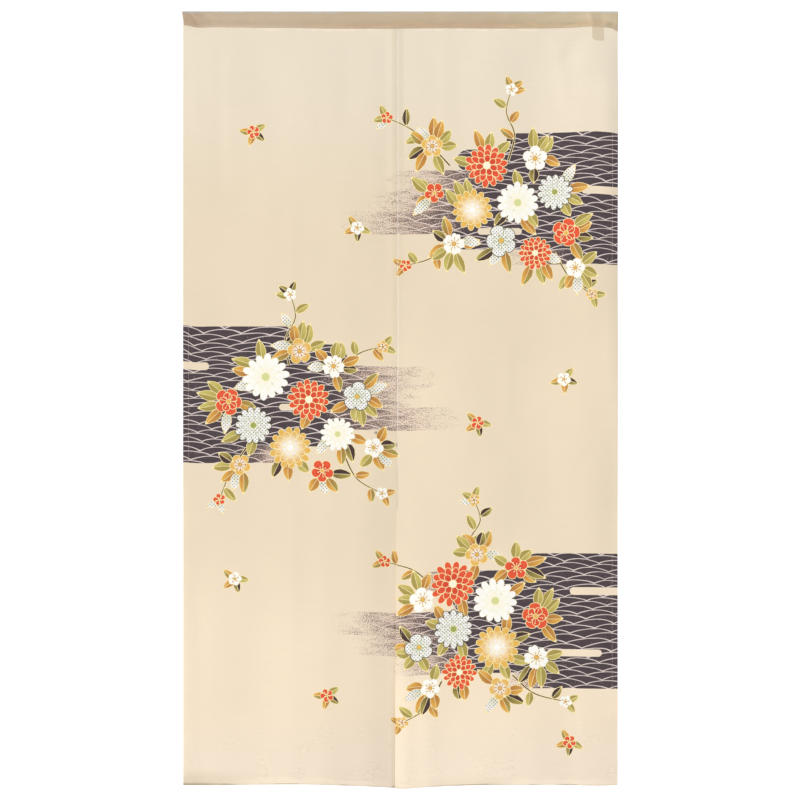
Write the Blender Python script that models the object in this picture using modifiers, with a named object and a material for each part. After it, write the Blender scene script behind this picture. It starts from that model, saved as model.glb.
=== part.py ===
"""A noren: a doorway curtain of two printed panels that hang from one rod pocket.

The cloth hangs in the XZ plane and faces -Y. The origin is the middle of the top edge.
Sizes are in metres, and the tables give millimetres.
"""

import math

import bmesh
import bpy

MM = 0.001

# The finished curtain
WIDTH = 845 * MM
DROP = 1504 * MM
SHEET = 1.2 * MM
HEM_SHEET = 2.0 * MM
SIDE_HEM = 12 * MM
BOTTOM_HEM = 14 * MM
SEWING_GAP = 0.3 * MM

# The slit between the panels, measured from the curtain's centre line
SLIT_X = -5.2 * MM
SLIT_GAP = 1.0 * MM
LAP_START = 760 * MM
LAP_END = 1460 * MM
RIGHT_LAP = 5.4 * MM
LEFT_LAP = 1.0 * MM

# How the folds grow below the seam that holds them flat
SEAM_HOLD = 70 * MM
FOLD_GROWTH = 1.3

# The rod pocket
POCKET_HEIGHT = 33 * MM
POCKET_SLANT = 3.6 * MM
POCKET_WALL_ROWS = (
    # down: share of the height; half_depth: from the pocket's middle to its wall, in mm
    {"down": 0.00, "half_depth": 2.0},
    {"down": 0.06, "half_depth": 4.9},
    {"down": 0.18, "half_depth": 6.8},
    {"down": 0.36, "half_depth": 7.5},
    {"down": 0.56, "half_depth": 7.0},
    {"down": 0.74, "half_depth": 5.2},
    {"down": 0.89, "half_depth": 2.6},
    {"down": 1.00, "half_depth": 0.9},
)

# The small folded tab in the seam, behind the right panel
TAB_LEFT = 373 * MM
TAB_WIDTH = 23 * MM
TAB_LENGTH = 27 * MM
TAB_SHEET = 1.0 * MM
TAB_CORNER = 4 * MM
TAB_COLUMNS = 3
TAB_ROWS = 3

# Grid of one panel: its columns stand closer together towards the curtain's outer side
PANEL_COLUMNS = 20
PANEL_ROWS = 26
COLUMN_GRADING = 1.35

# Bumps along the width: x is the middle and reach the half width of each
POCKET_SWELLS = (
    # swell: added share of the pocket's depth
    {"x": -422, "reach": 46, "swell": -0.12},
    {"x": -310, "reach": 70, "swell": 0.05},
    {"x": -150, "reach": 80, "swell": -0.04},
    {"x": 40, "reach": 90, "swell": 0.04},
    {"x": 230, "reach": 80, "swell": -0.05},
    {"x": 422, "reach": 40, "swell": -0.10},
)
POCKET_EDGE_LIFTS = (
    # lift: how far the seam under the pocket rises above its usual height
    {"x": -424, "reach": 34, "lift": 6.5},
    {"x": -225, "reach": 60, "lift": 1.2},
    {"x": 60, "reach": 50, "lift": 0.6},
    {"x": 372, "reach": 34, "lift": 4.2},
)
HEM_SAGS = (
    # sag: how far the bottom edge hangs below the usual drop
    {"x": -400, "reach": 70, "sag": 0.9},
    {"x": -195, "reach": 80, "sag": -2.0},
    {"x": 5, "reach": 95, "sag": 5.2},
    {"x": 225, "reach": 85, "sag": -2.2},
    {"x": 385, "reach": 60, "sag": 1.8},
)

# The folds: depth towards the viewer at the seam and at the hem. lean is how far
# the fold's middle moves to the right on its way down.
LEFT_FOLDS = (
    {"fold": "outer edge", "x": -422, "lean": 0, "reach": 38, "top": -2.5, "hem": -4.0},
    {"fold": "outer ridge", "x": -335, "lean": 12, "reach": 58, "top": 1.5, "hem": 3.5},
    {"fold": "outer trough", "x": -255, "lean": 0, "reach": 46, "top": -1.2, "hem": -2.5},
    {"fold": "belly", "x": -165, "lean": -12, "reach": 84, "top": 1.5, "hem": 9.0},
    {"fold": "slit edge", "x": -5, "lean": 0, "reach": 58, "top": -1.0, "hem": -9.0},
)
RIGHT_FOLDS = (
    {"fold": "slit edge", "x": -8, "lean": 0, "reach": 44, "top": -1.0, "hem": -3.0},
    {"fold": "belly", "x": 118, "lean": 16, "reach": 88, "top": 1.5, "hem": 8.0},
    {"fold": "trough", "x": 262, "lean": 0, "reach": 54, "top": -3.0, "hem": -2.5},
    {"fold": "outer ridge", "x": 366, "lean": -10, "reach": 42, "top": 4.0, "hem": 3.0},
    {"fold": "outer edge", "x": 422, "lean": 0, "reach": 26, "top": -7.0, "hem": -2.0},
)

# Base colour, roughness
PRINTED_CLOTH = ((0.84, 0.74, 0.59), 0.85)
POCKET_CLOTH = ((0.56, 0.44, 0.31), 0.88)
TAB_TAPE = ((0.80, 0.74, 0.62), 0.80)


def clear_scene():
    for old in list(bpy.data.objects):
        bpy.data.objects.remove(old, do_unlink=True)


def mix(start, end, share):
    return start + (end - start) * share


def ease(share):
    """0 to 1 with a soft start and a soft end."""
    share = min(max(share, 0.0), 1.0)
    return share * share * (3.0 - 2.0 * share)


def hump(x, middle, reach):
    return math.exp(-(((x - middle) / reach) ** 2))


def along_width(table, column, x):
    """The sum of a table's bumps at x, in the table's own unit."""
    return sum(row[column] * hump(x, row["x"] * MM, row["reach"] * MM) for row in table)


def pocket_edge(x):
    """Height of the seam under the rod pocket."""
    return -POCKET_HEIGHT + along_width(POCKET_EDGE_LIFTS, "lift", x) * MM


def hem_edge(x):
    """Height of the bottom edge."""
    return -DROP - along_width(HEM_SAGS, "sag", x) * MM


def fold_depth(folds, x, z):
    """How far the hanging cloth stands out towards the viewer at (x, z)."""
    below_seam = max(pocket_edge(x) - z, 0.0)
    held = 1.0 - math.exp(-below_seam / SEAM_HOLD)
    down = min(below_seam / (DROP - POCKET_HEIGHT), 1.0)
    depth = 0.0
    for fold in folds:
        middle = (fold["x"] + fold["lean"] * down) * MM
        height = mix(fold["top"], fold["hem"], down**FOLD_GROWTH) * MM
        depth += height * hump(x, middle, fold["reach"] * MM)
    return depth * held


def left_slit_edge(z):
    """X of the left panel's slit edge at height z."""
    lapped = ease((-z - LAP_START) / (LAP_END - LAP_START))
    return SLIT_X - SLIT_GAP / 2 - LEFT_LAP * lapped


def right_slit_edge(z):
    """X of the right panel's slit edge, which laps over the left panel lower down."""
    lapped = ease((-z - LAP_START) / (LAP_END - LAP_START))
    return SLIT_X + SLIT_GAP / 2 - RIGHT_LAP * lapped


def seam_places(outer_x, slit_x):
    """X of a panel's grid columns where it hangs from the seam, from left to right."""
    inward = math.copysign(1.0, slit_x - outer_x)
    first, last = outer_x + inward * SIDE_HEM, slit_x - inward * SIDE_HEM
    inner = PANEL_COLUMNS - 2
    graded = [mix(first, last, (i / inner) ** COLUMN_GRADING) for i in range(inner + 1)]
    return sorted([outer_x, *graded, slit_x])


def cloth_material(name, colour, roughness):
    material = bpy.data.materials.new(name)
    material.use_nodes = True
    shader = material.node_tree.nodes["Principled BSDF"]
    shader.inputs["Base Color"].default_value = (*colour, 1.0)
    shader.inputs["Roughness"].default_value = roughness
    shader.inputs["Metallic"].default_value = 0.0
    material.diffuse_color = (*colour, 1.0)
    return material


def new_object(name, shape, material, collection):
    mesh = bpy.data.meshes.new(name)
    shape.to_mesh(mesh)
    shape.free()
    mesh.materials.append(material)
    made = bpy.data.objects.new(name, mesh)
    collection.objects.link(made)
    return made


def thicken(sheet, thickness):
    """Gives an open surface its thickness, half of it on each side."""
    solidify = sheet.modifiers.new("cloth thickness", "SOLIDIFY")
    solidify.thickness = thickness
    solidify.offset = 0.0
    solidify.use_even_offset = True
    return solidify


def cloth_grid(columns, rows):
    """An upright grid that faces -Y, with each vertex keyed by (column, row)."""
    grid = bmesh.new()
    bmesh.ops.create_grid(grid, x_segments=columns, y_segments=rows, size=0.5)
    keyed = {}
    for vertex in grid.verts:
        column = round((vertex.co.x + 0.5) * columns)
        row = round((0.5 - vertex.co.y) * rows)
        keyed[column, row] = vertex
    return grid, keyed


def make_panel(name, outer_x, slit_edge, folds, material, collection):
    """One hemmed panel, hanging in its folds from just under the pocket's seam."""
    grid, keyed = cloth_grid(PANEL_COLUMNS, PANEL_ROWS)
    places = seam_places(outer_x, slit_edge(0.0))
    seam_width = slit_edge(0.0) - outer_x
    length = DROP - POCKET_HEIGHT
    above_hem = 1.0 - BOTTOM_HEM / length
    for (column, row), vertex in keyed.items():
        down = above_hem * row / (PANEL_ROWS - 1) if row < PANEL_ROWS else 1.0
        width = slit_edge(-POCKET_HEIGHT - length * down) - outer_x
        x = outer_x + (places[column] - outer_x) * width / seam_width
        z = mix(pocket_edge(x) - SEWING_GAP, hem_edge(x), down)
        vertex.co = (x, -fold_depth(folds, x, z), z)
    hem_columns = (0, 1, PANEL_COLUMNS - 1, PANEL_COLUMNS)
    hem_vertices = [
        vertex.index
        for (column, row), vertex in keyed.items()
        if column in hem_columns or row >= PANEL_ROWS - 1
    ]
    panel = new_object(name, grid, material, collection)
    hem = panel.vertex_groups.new(name="hem")
    hem.add(hem_vertices, 1.0, "REPLACE")
    solidify = thicken(panel, HEM_SHEET)
    solidify.vertex_group = hem.name
    solidify.thickness_vertex_group = SHEET / HEM_SHEET
    return panel


def pocket_ring(x):
    """The middle line of the pocket's wall at x, down the front and up the back."""
    height = -pocket_edge(x) - SHEET
    swell = 1.0 + along_width(POCKET_SWELLS, "swell", x)
    slant = POCKET_SLANT if x == -WIDTH / 2 else 0.0
    front, back = [], []
    for row in POCKET_WALL_ROWS:
        depth = row["half_depth"] * MM * swell
        place = x + slant * (row["down"] - 0.5)
        z = -SHEET / 2 - height * row["down"]
        front.append((place, -depth, z))
        back.append((place, depth, z))
    return front + back[::-1]


def make_rod_pocket(material, collection):
    """An open sleeve of cloth, lofted along its length from rings of its wall."""
    left_places = seam_places(-WIDTH / 2, left_slit_edge(0.0))
    right_places = seam_places(WIDTH / 2, right_slit_edge(0.0))
    stations = left_places[:-1] + [SLIT_X] + right_places[1:]
    sleeve = bmesh.new()
    loops = []
    for x in stations:
        ring = [sleeve.verts.new(point) for point in pocket_ring(x)]
        ends = ring[1:] + ring[:1]
        loops.append([sleeve.edges.new(pair) for pair in zip(ring, ends)])
    for here, there in zip(loops, loops[1:]):
        bmesh.ops.bridge_loops(sleeve, edges=here + there)
    bmesh.ops.recalc_face_normals(sleeve, faces=sleeve.faces)
    pocket = new_object("rod_pocket", sleeve, material, collection)
    thicken(pocket, SHEET)
    return pocket


def make_sewn_tab(material, collection):
    """A small folded tab that hangs from the seam, close behind the right panel."""
    grid, keyed = cloth_grid(TAB_COLUMNS, TAB_ROWS)
    behind_panel = SHEET / 2 + SEWING_GAP + TAB_SHEET / 2
    for (column, row), vertex in keyed.items():
        x = TAB_LEFT + TAB_WIDTH * column / TAB_COLUMNS
        z = mix(pocket_edge(x) - SEWING_GAP, -POCKET_HEIGHT - TAB_LENGTH, row / TAB_ROWS)
        if (column, row) == (0, TAB_ROWS):
            x += TAB_CORNER
        vertex.co = (x, behind_panel - fold_depth(RIGHT_FOLDS, x, z), z)
    tab = new_object("sewn_tab", grid, material, collection)
    thicken(tab, TAB_SHEET)
    return tab


def main():
    clear_scene()
    curtain = bpy.data.collections.new("noren_curtain")
    bpy.context.scene.collection.children.link(curtain)
    printed = cloth_material("printed cloth", *PRINTED_CLOTH)
    plain = cloth_material("pocket cloth", *POCKET_CLOTH)
    tape = cloth_material("tab tape", *TAB_TAPE)
    make_rod_pocket(plain, curtain)
    make_panel("left_panel", -WIDTH / 2, left_slit_edge, LEFT_FOLDS, printed, curtain)
    make_panel("right_panel", WIDTH / 2, right_slit_edge, RIGHT_FOLDS, printed, curtain)
    make_sewn_tab(tape, curtain)


main()
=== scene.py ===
# %% [markdown]
# # A noren, the split curtain of a doorway
#
# A noren is two lengths of cloth that hang side by side from one heading, with a slit between them
# to walk through. This one is a thin polyester crepe with a printed pattern: chrysanthemums and
# plum blossom over dark bars of mist, in which waves are drawn. The heading is a flat sleeve of
# plain tan cloth for a rod, and a small folded tab is caught in its seam at the back, near the
# right end.
#
# The imported model comes in first. It gives the place of every piece. All lengths are metres, and
# the tables give millimetres.

import math
import random
from collections import namedtuple

import bmesh
import bpy
import numpy as np
from mathutils import Matrix, Vector, noise
from mathutils.geometry import delaunay_2d_cdt


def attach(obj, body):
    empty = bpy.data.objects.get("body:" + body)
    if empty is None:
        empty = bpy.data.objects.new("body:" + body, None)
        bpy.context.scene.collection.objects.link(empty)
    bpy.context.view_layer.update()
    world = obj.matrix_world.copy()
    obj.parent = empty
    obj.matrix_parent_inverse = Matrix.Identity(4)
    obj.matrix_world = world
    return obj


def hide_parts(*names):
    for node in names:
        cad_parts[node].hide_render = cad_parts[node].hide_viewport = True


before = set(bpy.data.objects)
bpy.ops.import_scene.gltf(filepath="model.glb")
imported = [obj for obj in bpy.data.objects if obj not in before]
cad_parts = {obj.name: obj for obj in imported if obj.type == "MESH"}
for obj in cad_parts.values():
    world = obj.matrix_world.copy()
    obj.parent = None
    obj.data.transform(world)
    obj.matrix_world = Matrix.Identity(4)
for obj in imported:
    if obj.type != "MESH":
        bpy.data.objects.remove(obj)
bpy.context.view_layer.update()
print("CAD nodes:", ", ".join(sorted(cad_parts)))

# %% [markdown]
# ## How the cloth hangs
#
# The curtain is nearly flat. The seam holds it straight at the top, and soft folds open out of it
# towards the hem, so each fold is a smooth hump whose height grows on the way down. The folds and
# the sums are the ones the solids were made with, so the fine cloth lies on the same folds. Only
# the lines of the seam and of the hem have a few finer bumps here.

# %% Sizes of the curtain
MM = 0.001
WIDTH = 845 * MM
DROP = 1504 * MM
SIDE_HEM = 12 * MM
BOTTOM_HEM = 14 * MM
SLIT_X = -5.2 * MM
SLIT_GAP = 1.0 * MM
LAP_START = 760 * MM
LAP_END = 1460 * MM
RIGHT_LAP = 5.4 * MM
LEFT_LAP = 1.0 * MM
SEAM_HOLD = 70 * MM
FOLD_GROWTH = 1.3
POCKET_HEIGHT = 33 * MM
POCKET_SLANT = 3.6 * MM
PANEL_LENGTH = DROP - POCKET_HEIGHT
print("each panel is", round(PANEL_LENGTH, 3), "m long below the heading")

# %% Bumps of the edges and folds of the cloth
POCKET_EDGE_LIFTS = (
    # x, reach, and how far the seam under the pocket rises above its usual height
    (-424, 21, 6.4),
    (-372, 30, 1.4),
    (-326, 60, 2.5),
    (-225, 60, 1.2),
    (60, 50, 0.6),
    (150, 150, 0.4),
    (314, 34, 1.4),
    (372, 34, 4.2),
)
HEM_SAGS = (
    # x, reach, and how far the bottom edge hangs below the usual drop
    (-400, 70, 0.9),
    (-195, 80, -2.0),
    (5, 95, 5.2),
    (225, 85, -2.2),
    (385, 60, 1.8),
    (225, 66, 2.3),
    (2, 38, 2.6),
)
LEFT_FOLDS = (
    # x at the seam, how far the fold leans to the right as it goes down, reach, and its depth
    # towards the viewer at the seam and at the hem
    (-422, 0, 38, -2.5, -4.0),  # outer edge
    (-335, 12, 58, 1.5, 3.5),  # outer ridge
    (-255, 0, 46, -1.2, -2.5),  # outer trough
    (-165, -12, 84, 1.5, 9.0),  # belly
    (-5, 0, 58, -1.0, -9.0),  # slit edge
)
RIGHT_FOLDS = (
    (-8, 0, 44, -1.0, -3.0),  # slit edge
    (118, 16, 88, 1.5, 8.0),  # belly
    (262, 0, 54, -3.0, -2.5),  # trough
    (366, -10, 42, 4.0, 3.0),  # outer ridge
    (422, 0, 26, -7.0, -2.0),  # outer edge
)
print("folds of the left panel:", len(LEFT_FOLDS), "and of the right one:", len(RIGHT_FOLDS))


# %% The edges and the folds
def mix(start, end, share):
    return start + (end - start) * share


def ease(share):
    """0 to 1 with a soft start and a soft end."""
    share = min(max(share, 0.0), 1.0)
    return share * share * (3.0 - 2.0 * share)


def hump(x, middle, reach):
    return math.exp(-(((x - middle) / reach) ** 2))


def along_width(table, x):
    """The sum of a table's bumps at x, in the table's own unit."""
    return sum(height * hump(x, middle * MM, reach * MM) for middle, reach, height in table)


def pocket_edge(x):
    """Height of the seam under the rod pocket."""
    return -POCKET_HEIGHT + along_width(POCKET_EDGE_LIFTS, x) * MM


def hem_edge(x):
    """Height of the bottom edge."""
    return -DROP - along_width(HEM_SAGS, x) * MM


def fold_depth(folds, x, z):
    """How far the hanging cloth stands out towards the viewer at (x, z)."""
    below_seam = max(pocket_edge(x) - z, 0.0)
    held = 1.0 - math.exp(-below_seam / SEAM_HOLD)
    down = min(below_seam / PANEL_LENGTH, 1.0)
    depth = 0.0
    for at_seam, lean, reach, top, hem in folds:
        middle = (at_seam + lean * down) * MM
        height = mix(top, hem, down**FOLD_GROWTH) * MM
        depth += height * hump(x, middle, reach * MM)
    return depth * held


def lapped(z):
    """0 where the slit's edges only meet, 1 where the right one laps over the left one."""
    return ease((-z - LAP_START) / (LAP_END - LAP_START))


def left_slit_edge(z):
    return SLIT_X - SLIT_GAP / 2 - LEFT_LAP * lapped(z)


def right_slit_edge(z):
    return SLIT_X + SLIT_GAP / 2 - RIGHT_LAP * lapped(z)


for x in (-0.3, 0.0, 0.3):
    print("x", x, "seam at", round(pocket_edge(x), 4), "and hem at", round(hem_edge(x), 4))

# %% [markdown]
# ## Creases
#
# The main folds are too smooth to read as cloth on their own. Real crepe also keeps faint vertical
# lines where it was folded in its packet, cockles a little everywhere, and puckers along a hem,
# because the thread is tighter than the cloth. The lines are placed one by one, and the widest of
# them make a fold a little flatter or sharper than it is on the solid, as the photo shows it. The
# cockle and the puckers come from Blender's noise, which gives the same values on every run.

# %% Faint lines
TO_HEM = 1500
LEFT_CREASES = (
    # a soft line from x and down to x and down, its reach, and its height towards the viewer
    (-422, 36, -422, TO_HEM, 40, 3.2),
    (-336, 36, -326, TO_HEM, 58, -2.0),
    (-256, 60, -254, TO_HEM, 46, 1.6),
    (-168, 260, -172, 1100, 80, -2.0),
    (-12, 420, -12, 1180, 52, 2.6),
    (-404, 36, -396, 250, 7, 0.6),
    (-352, 34, -347, 420, 10, -0.5),
    (-212, 34, -208, TO_HEM, 6, 0.3),
    (-96, 34, -118, 300, 12, -0.5),
    (-26, 0, -24, 620, 14, -0.9),
    (-186, 560, -186, TO_HEM, 40, -2.0),
    (-58, 700, -50, TO_HEM, 48, 3.2),
    (-396, 1040, -388, TO_HEM, 13, -0.5),
    (-426, 900, -426, TO_HEM, 8, -0.9),
)
RIGHT_CREASES = (
    (2, 0, 0, 760, 26, 1.0),
    (92, 34, 84, 360, 13, 0.5),
    (108, -100, 116, 800, 70, -2.2),
    (206, 34, 206, TO_HEM, 6, 0.3),
    (262, 60, 262, TO_HEM, 54, 1.8),
    (304, 34, 322, 210, 11, 0.6),
    (352, 40, 308, 112, 9, -1.3),
    (366, 40, 322, 116, 17, -1.1),
    (436, -60, 436, 140, 15, -2.4),
    (424, 110, 424, 400, 52, 4.2),
    (440, 420, 440, 820, 30, -3.4),
    (436, 1360, 436, TO_HEM, 34, -3.0),
    (362, 380, 358, TO_HEM, 42, -2.2),
    (420, 0, 420, 940, 24, 6.2),
    (400, 60, 402, 480, 20, 1.9),
    (422, 520, 424, TO_HEM, 26, 2.5),
    (10, 1130, 10, TO_HEM, 16, 2.1),
    (128, 760, 136, TO_HEM, 84, -2.6),
    (40, 1050, 52, TO_HEM, 18, 0.6),
    (112, 1000, 114, TO_HEM, 60, -2.4),
    (258, 1000, 262, TO_HEM, 52, 2.8),
    (322, 1180, 334, TO_HEM, 18, -0.6),
)
Panel = namedtuple("Panel", "name outer slit_edge folds creases")
PANELS = (
    Panel("left_cloth", -WIDTH / 2, left_slit_edge, LEFT_FOLDS, LEFT_CREASES),
    Panel("right_cloth", WIDTH / 2, right_slit_edge, RIGHT_FOLDS, RIGHT_CREASES),
)


def sides(panel):
    """The left side and the right side of a panel's flat cut."""
    return sorted((panel.outer, panel.slit_edge(0.0)))


print("creases placed by hand:", sum(len(panel.creases) for panel in PANELS))

# %% Cockle and puckers
FINE_HOLD = 0.3 * SEAM_HOLD
SEAM_ROLL = 0.7 * MM
SEAM_ROLL_REACH = 5 * MM
COCKLE = 0.35 * MM
COCKLE_ACROSS = 34 * MM
COCKLE_DOWN = 78 * MM
SIDE_PUCKER = 0.55 * MM
HEM_PUCKER = 0.8 * SIDE_PUCKER
PUCKER_LENGTH = 13 * MM
PUCKER_REACH = 9 * MM


def crease_depth(panel, x, z):
    """The small relief of the cloth at (x, z), on top of its folds."""
    below_seam = max(pocket_edge(x) - z, 0.0)
    held = 1.0 - math.exp(-below_seam / FINE_HOLD)
    depth = COCKLE * noise.noise(Vector((x / COCKLE_ACROSS, z / COCKLE_DOWN, panel.outer)))
    for start_x, start, stop_x, stop, reach, height in panel.creases:
        share = (-z / MM - start) / (stop - start)
        if 0.0 < share < 1.0 or (share >= 1.0 and stop == TO_HEM):
            ends = ease(6 * share) * (1.0 if stop == TO_HEM else ease(3 * (1 - share)))
            middle = mix(start_x, stop_x, share) * MM
            depth += height * MM * ends * hump(x, middle, reach * MM)
    to_edge = min(abs(x - panel.outer), abs(x - panel.slit_edge(z)))
    ripple = noise.noise(Vector((z / PUCKER_LENGTH, panel.outer, 3.0)))
    depth += SIDE_PUCKER * ripple * math.exp(-to_edge / PUCKER_REACH)
    to_hem = abs(z - hem_edge(x))
    ripple = noise.noise(Vector((x / PUCKER_LENGTH, 7.0, panel.outer)))
    depth += HEM_PUCKER * ripple * math.exp(-to_hem / PUCKER_REACH)
    return depth * held + SEAM_ROLL * ease(below_seam / SEAM_ROLL_REACH)


middle_relief = crease_depth(PANELS[0], -0.2, -0.8)
print("fine relief in the middle of the left cloth:", round(middle_relief / MM, 2), "mm")

# %% [markdown]
# ## From the cutting table to the doorway
#
# Everything on a panel, its print, its hems and its stitches, is laid out on the flat cut, as the
# maker does. One function then hangs any point of the cut: it turns the side hems and the bottom
# hem to the back round a small radius, stretches the width to the lap of the slit, and drops the
# point on to the folds. So nothing can drift apart, however fine the pieces are.

# %% Hanging a point of the cut
CLOTH = 0.4 * MM
SIDE_TURN = 0.25 * MM
BOTTOM_TURN = 0.75 * MM
SEAM_TUCK = 5 * MM


def turned_back(along, edge, radius, behind=0.0):
    """Where cloth lies that turns to the back at an edge: how far along, and how far behind."""
    start = edge - radius
    if along <= start:
        return along, behind
    angle = (along - start) / radius
    own_radius = radius - behind
    if angle < math.pi:
        return start + own_radius * math.sin(angle), radius - own_radius * math.cos(angle)
    return start - (along - start - math.pi * radius), 2 * radius - behind


def hang(panel, x, down, lift=0.0):
    """A point of the flat cut, down from the seam, hung; lift is towards the viewer."""
    slit = panel.slit_edge(0.0)
    low, high = sides(panel)
    if x > (low + high) / 2:
        x, behind = turned_back(x, high, SIDE_TURN)
    else:
        x, behind = turned_back(-x, -low, SIDE_TURN)
        x = -x
    down, behind = turned_back(down, PANEL_LENGTH, BOTTOM_TURN, behind)
    share = down / PANEL_LENGTH
    width = panel.slit_edge(-POCKET_HEIGHT - down) - panel.outer
    x = panel.outer + (x - panel.outer) * width / (slit - panel.outer)
    z = mix(pocket_edge(x), hem_edge(x), share)
    depth = fold_depth(panel.folds, x, z) + crease_depth(panel, x, z)
    return Vector((x, behind - depth - lift, z))


print("the hem's lowest point:", tuple(round(c, 4) for c in hang(PANELS[0], -0.2, PANEL_LENGTH)))

# %% [markdown]
# ## Dyes
#
# The colours are named as a dyer would name them, and given as the eye sees them, in sRGB from 0 to
# 255. Shaders count in linear light, so a helper converts them.

# %% Dyes in linear light
DYES = {
    "pale line": (250, 230, 172),
    "bloom line": (248, 243, 218),
    "vermilion": (230, 90, 58),
    "deep red": (196, 54, 38),
    "gold": (232, 184, 90),
    "deep gold": (198, 144, 70),
    "white": (252, 250, 245),
    "leaf": (202, 188, 104),
    "deep leaf": (168, 152, 80),
    "orange": (226, 172, 80),
    "rust": (172, 106, 54),
    "umber": (74, 56, 52),
    "cream": (250, 244, 214),
    "moss": (158, 170, 92),
    "pale moss": (214, 220, 152),
    "mist": (66, 57, 61),
    "mist wash": (112, 96, 99),
    "wave line": (238, 222, 216),
    "stipple gap": (226, 196, 180),
    "stipple ink": (124, 104, 98),
    "stipple line": (240, 218, 202),
    "tie line": (206, 208, 186),
    "dot gap": (240, 237, 234),
    "dot point": (104, 92, 94),
}


def linear(dye):
    """An sRGB colour of 0 to 255 in linear light."""
    rgb = DYES[dye] if isinstance(dye, str) else dye
    return tuple(
        (c / 255 / 12.92) if c <= 10 else ((c / 255 + 0.055) / 1.055) ** 2.4 for c in rgb
    )


print(len(DYES), "dyes")

# %% [markdown]
# ## Drawing petals and leaves
#
# The print is outlined in pale gold and filled with flat dye, as stencilled cloth is. A petal or a
# leaf is therefore two areas: its outline in the line's dye, and the same outline moved inwards in
# its own dye. The areas are kept in the order in which they are printed, and a later one covers an
# earlier one. Each area remembers its motif's centre, size and turn, so that the shader can shade
# it from its heart outwards.

# %% Areas and their places
Area = namedtuple("Area", "outline dye heart glow dots centre size turn")


def turn_and_place(outline, x, z, size, turn):
    cos, sin = math.cos(turn), math.sin(turn)
    return [(x + size * (a * cos - b * sin), z + size * (a * sin + b * cos)) for a, b in outline]


def ahead(x, z, turn, distance):
    """The point at a distance from (x, z). A turn of 0 points up, and it grows to the left."""
    return x - math.sin(turn) * distance, z + math.cos(turn) * distance


def leftwards(outline):
    """The outline, turned round if need be so that its inside lies to the left all the way."""
    pairs = zip(outline, outline[1:] + outline[:1])
    twice_area = sum(a[0] * b[1] - b[0] * a[1] for a, b in pairs)
    return outline if twice_area > 0 else outline[::-1]


print("straight ahead from 0, 0:", ahead(0, 0, 0, 1))

# %% Lines and fills
LINE_WIDTH = 1.15
FOLIAGE_LINE = 1.0
SHARPEST_CORNER = 0.55


def shrink(outline, by):
    """The outline moved inwards by a distance, corner by corner."""
    side = 1.0 if leftwards(outline) is outline else -1.0
    before = outline[-1:] + outline[:-1]
    after = outline[1:] + outline[:1]
    moved = []
    for (x, z), (ax, az), (bx, bz) in zip(outline, before, after):
        into = Vector((x - ax, z - az)).normalized()
        out_of = Vector((bx - x, bz - z)).normalized()
        inward = Vector((-into.y - out_of.y, into.x + out_of.x)).normalized()
        lean = max(SHARPEST_CORNER, inward.dot(Vector((-into.y, into.x))))
        moved.append((x + side * by * inward.x / lean, z + side * by * inward.y / lean))
    return moved


square = [(0, 0), (9, 0), (9, 9), (0, 9)]
print("inside the line of a square of 9 mm:", [round(x, 2) for x, _ in shrink(square, LINE_WIDTH)])

# %% Discs and petals
TIP_CROWDING = 0.55
NOTCH_WIDTH = 0.55


def disc(x, z, radius, corners=10):
    turns = (math.tau * i / corners for i in range(corners))
    return [(x + radius * math.cos(a), z + radius * math.sin(a)) for a in turns]


def petal(foot, reach, half_width, slimness, notch=0.0, corners=12):
    """A petal that points up, from its foot at the heart to its round or notched tip."""
    outline = []
    for i in range(corners):
        angle = math.tau * (i + 0.5) / corners
        angle += TIP_CROWDING * math.sin(angle)
        along = 0.5 - 0.5 * math.cos(angle)
        across = math.sin(angle) * half_width * mix(slimness, 1.0, along**0.6)
        beside_tip = abs(math.sin(angle)) / NOTCH_WIDTH
        dip = notch * max(0.0, 1 - beside_tip) if along > 0.8 else 0.0
        outline.append((across, mix(foot, reach, along) - dip))
    return outline


print("a petal has", len(petal(0.05, 1.0, 0.5, 0.55)), "corners, most of them at its tip")

# %% [markdown]
# ## Blooms
#
# Three old flower motifs make up the sprays: the many-petalled chrysanthemum, the round plum
# blossom and the notched cherry blossom. A bloom is drawn from its back ring of petals to its front
# one, and each petal differs a little in length, so that no two blooms are the same stamp. One kind
# of bloom is dotted, after cloth that is tied in hundreds of small points before it is dyed, and
# has a dark scalloped rim behind its outermost petals.

# %% Rings of petals
Ring = namedtuple("Ring", "petals reach foot half_width slimness notch corners")
BLOOM_RINGS = {
    "chrysanthemum": (
        Ring(14, 1.00, 0.40, 0.196, 0.62, 0.0, 9),
        Ring(11, 0.76, 0.26, 0.188, 0.62, 0.0, 8),
        Ring(7, 0.50, 0.10, 0.186, 0.62, 0.0, 8),
    ),
    "plum": (Ring(5, 1.00, 0.05, 0.50, 0.55, 0.0, 10),),
    "cherry": (Ring(5, 1.00, 0.06, 0.46, 0.55, 0.16, 13),),
    "double plum": (
        Ring(5, 1.00, 0.20, 0.52, 0.55, 0.0, 10),
        Ring(5, 0.70, 0.00, 0.36, 0.55, 0.0, 9),
    ),
}
# petal, heart colour, share of the heart colour, line, threads, button
BLOOM_DYES = {
    "red": ("vermilion", "deep red", 0.55, "pale line", "pale line", "cream"),
    "white": ("white", "cream", 0.7, "bloom line", "deep gold", "pale moss"),
    "gold": ("gold", "white", 0.95, "pale line", "rust", "white"),
    "dotted": ("white", "pale moss", 0.3, "tie line", "moss", "moss"),
}
print("kinds of bloom:", ", ".join(BLOOM_RINGS))

# %% The heart of a bloom
BUTTON = 0.19
WIDE_BLOOM = 34
THREAD_HALF_WIDTH = 0.45
THREAD_REACH = 0.44
THREAD_STAGGER = 0.08
THREAD_TIP = 0.05
LEAST_THREAD_TIP = 1.3


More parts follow.
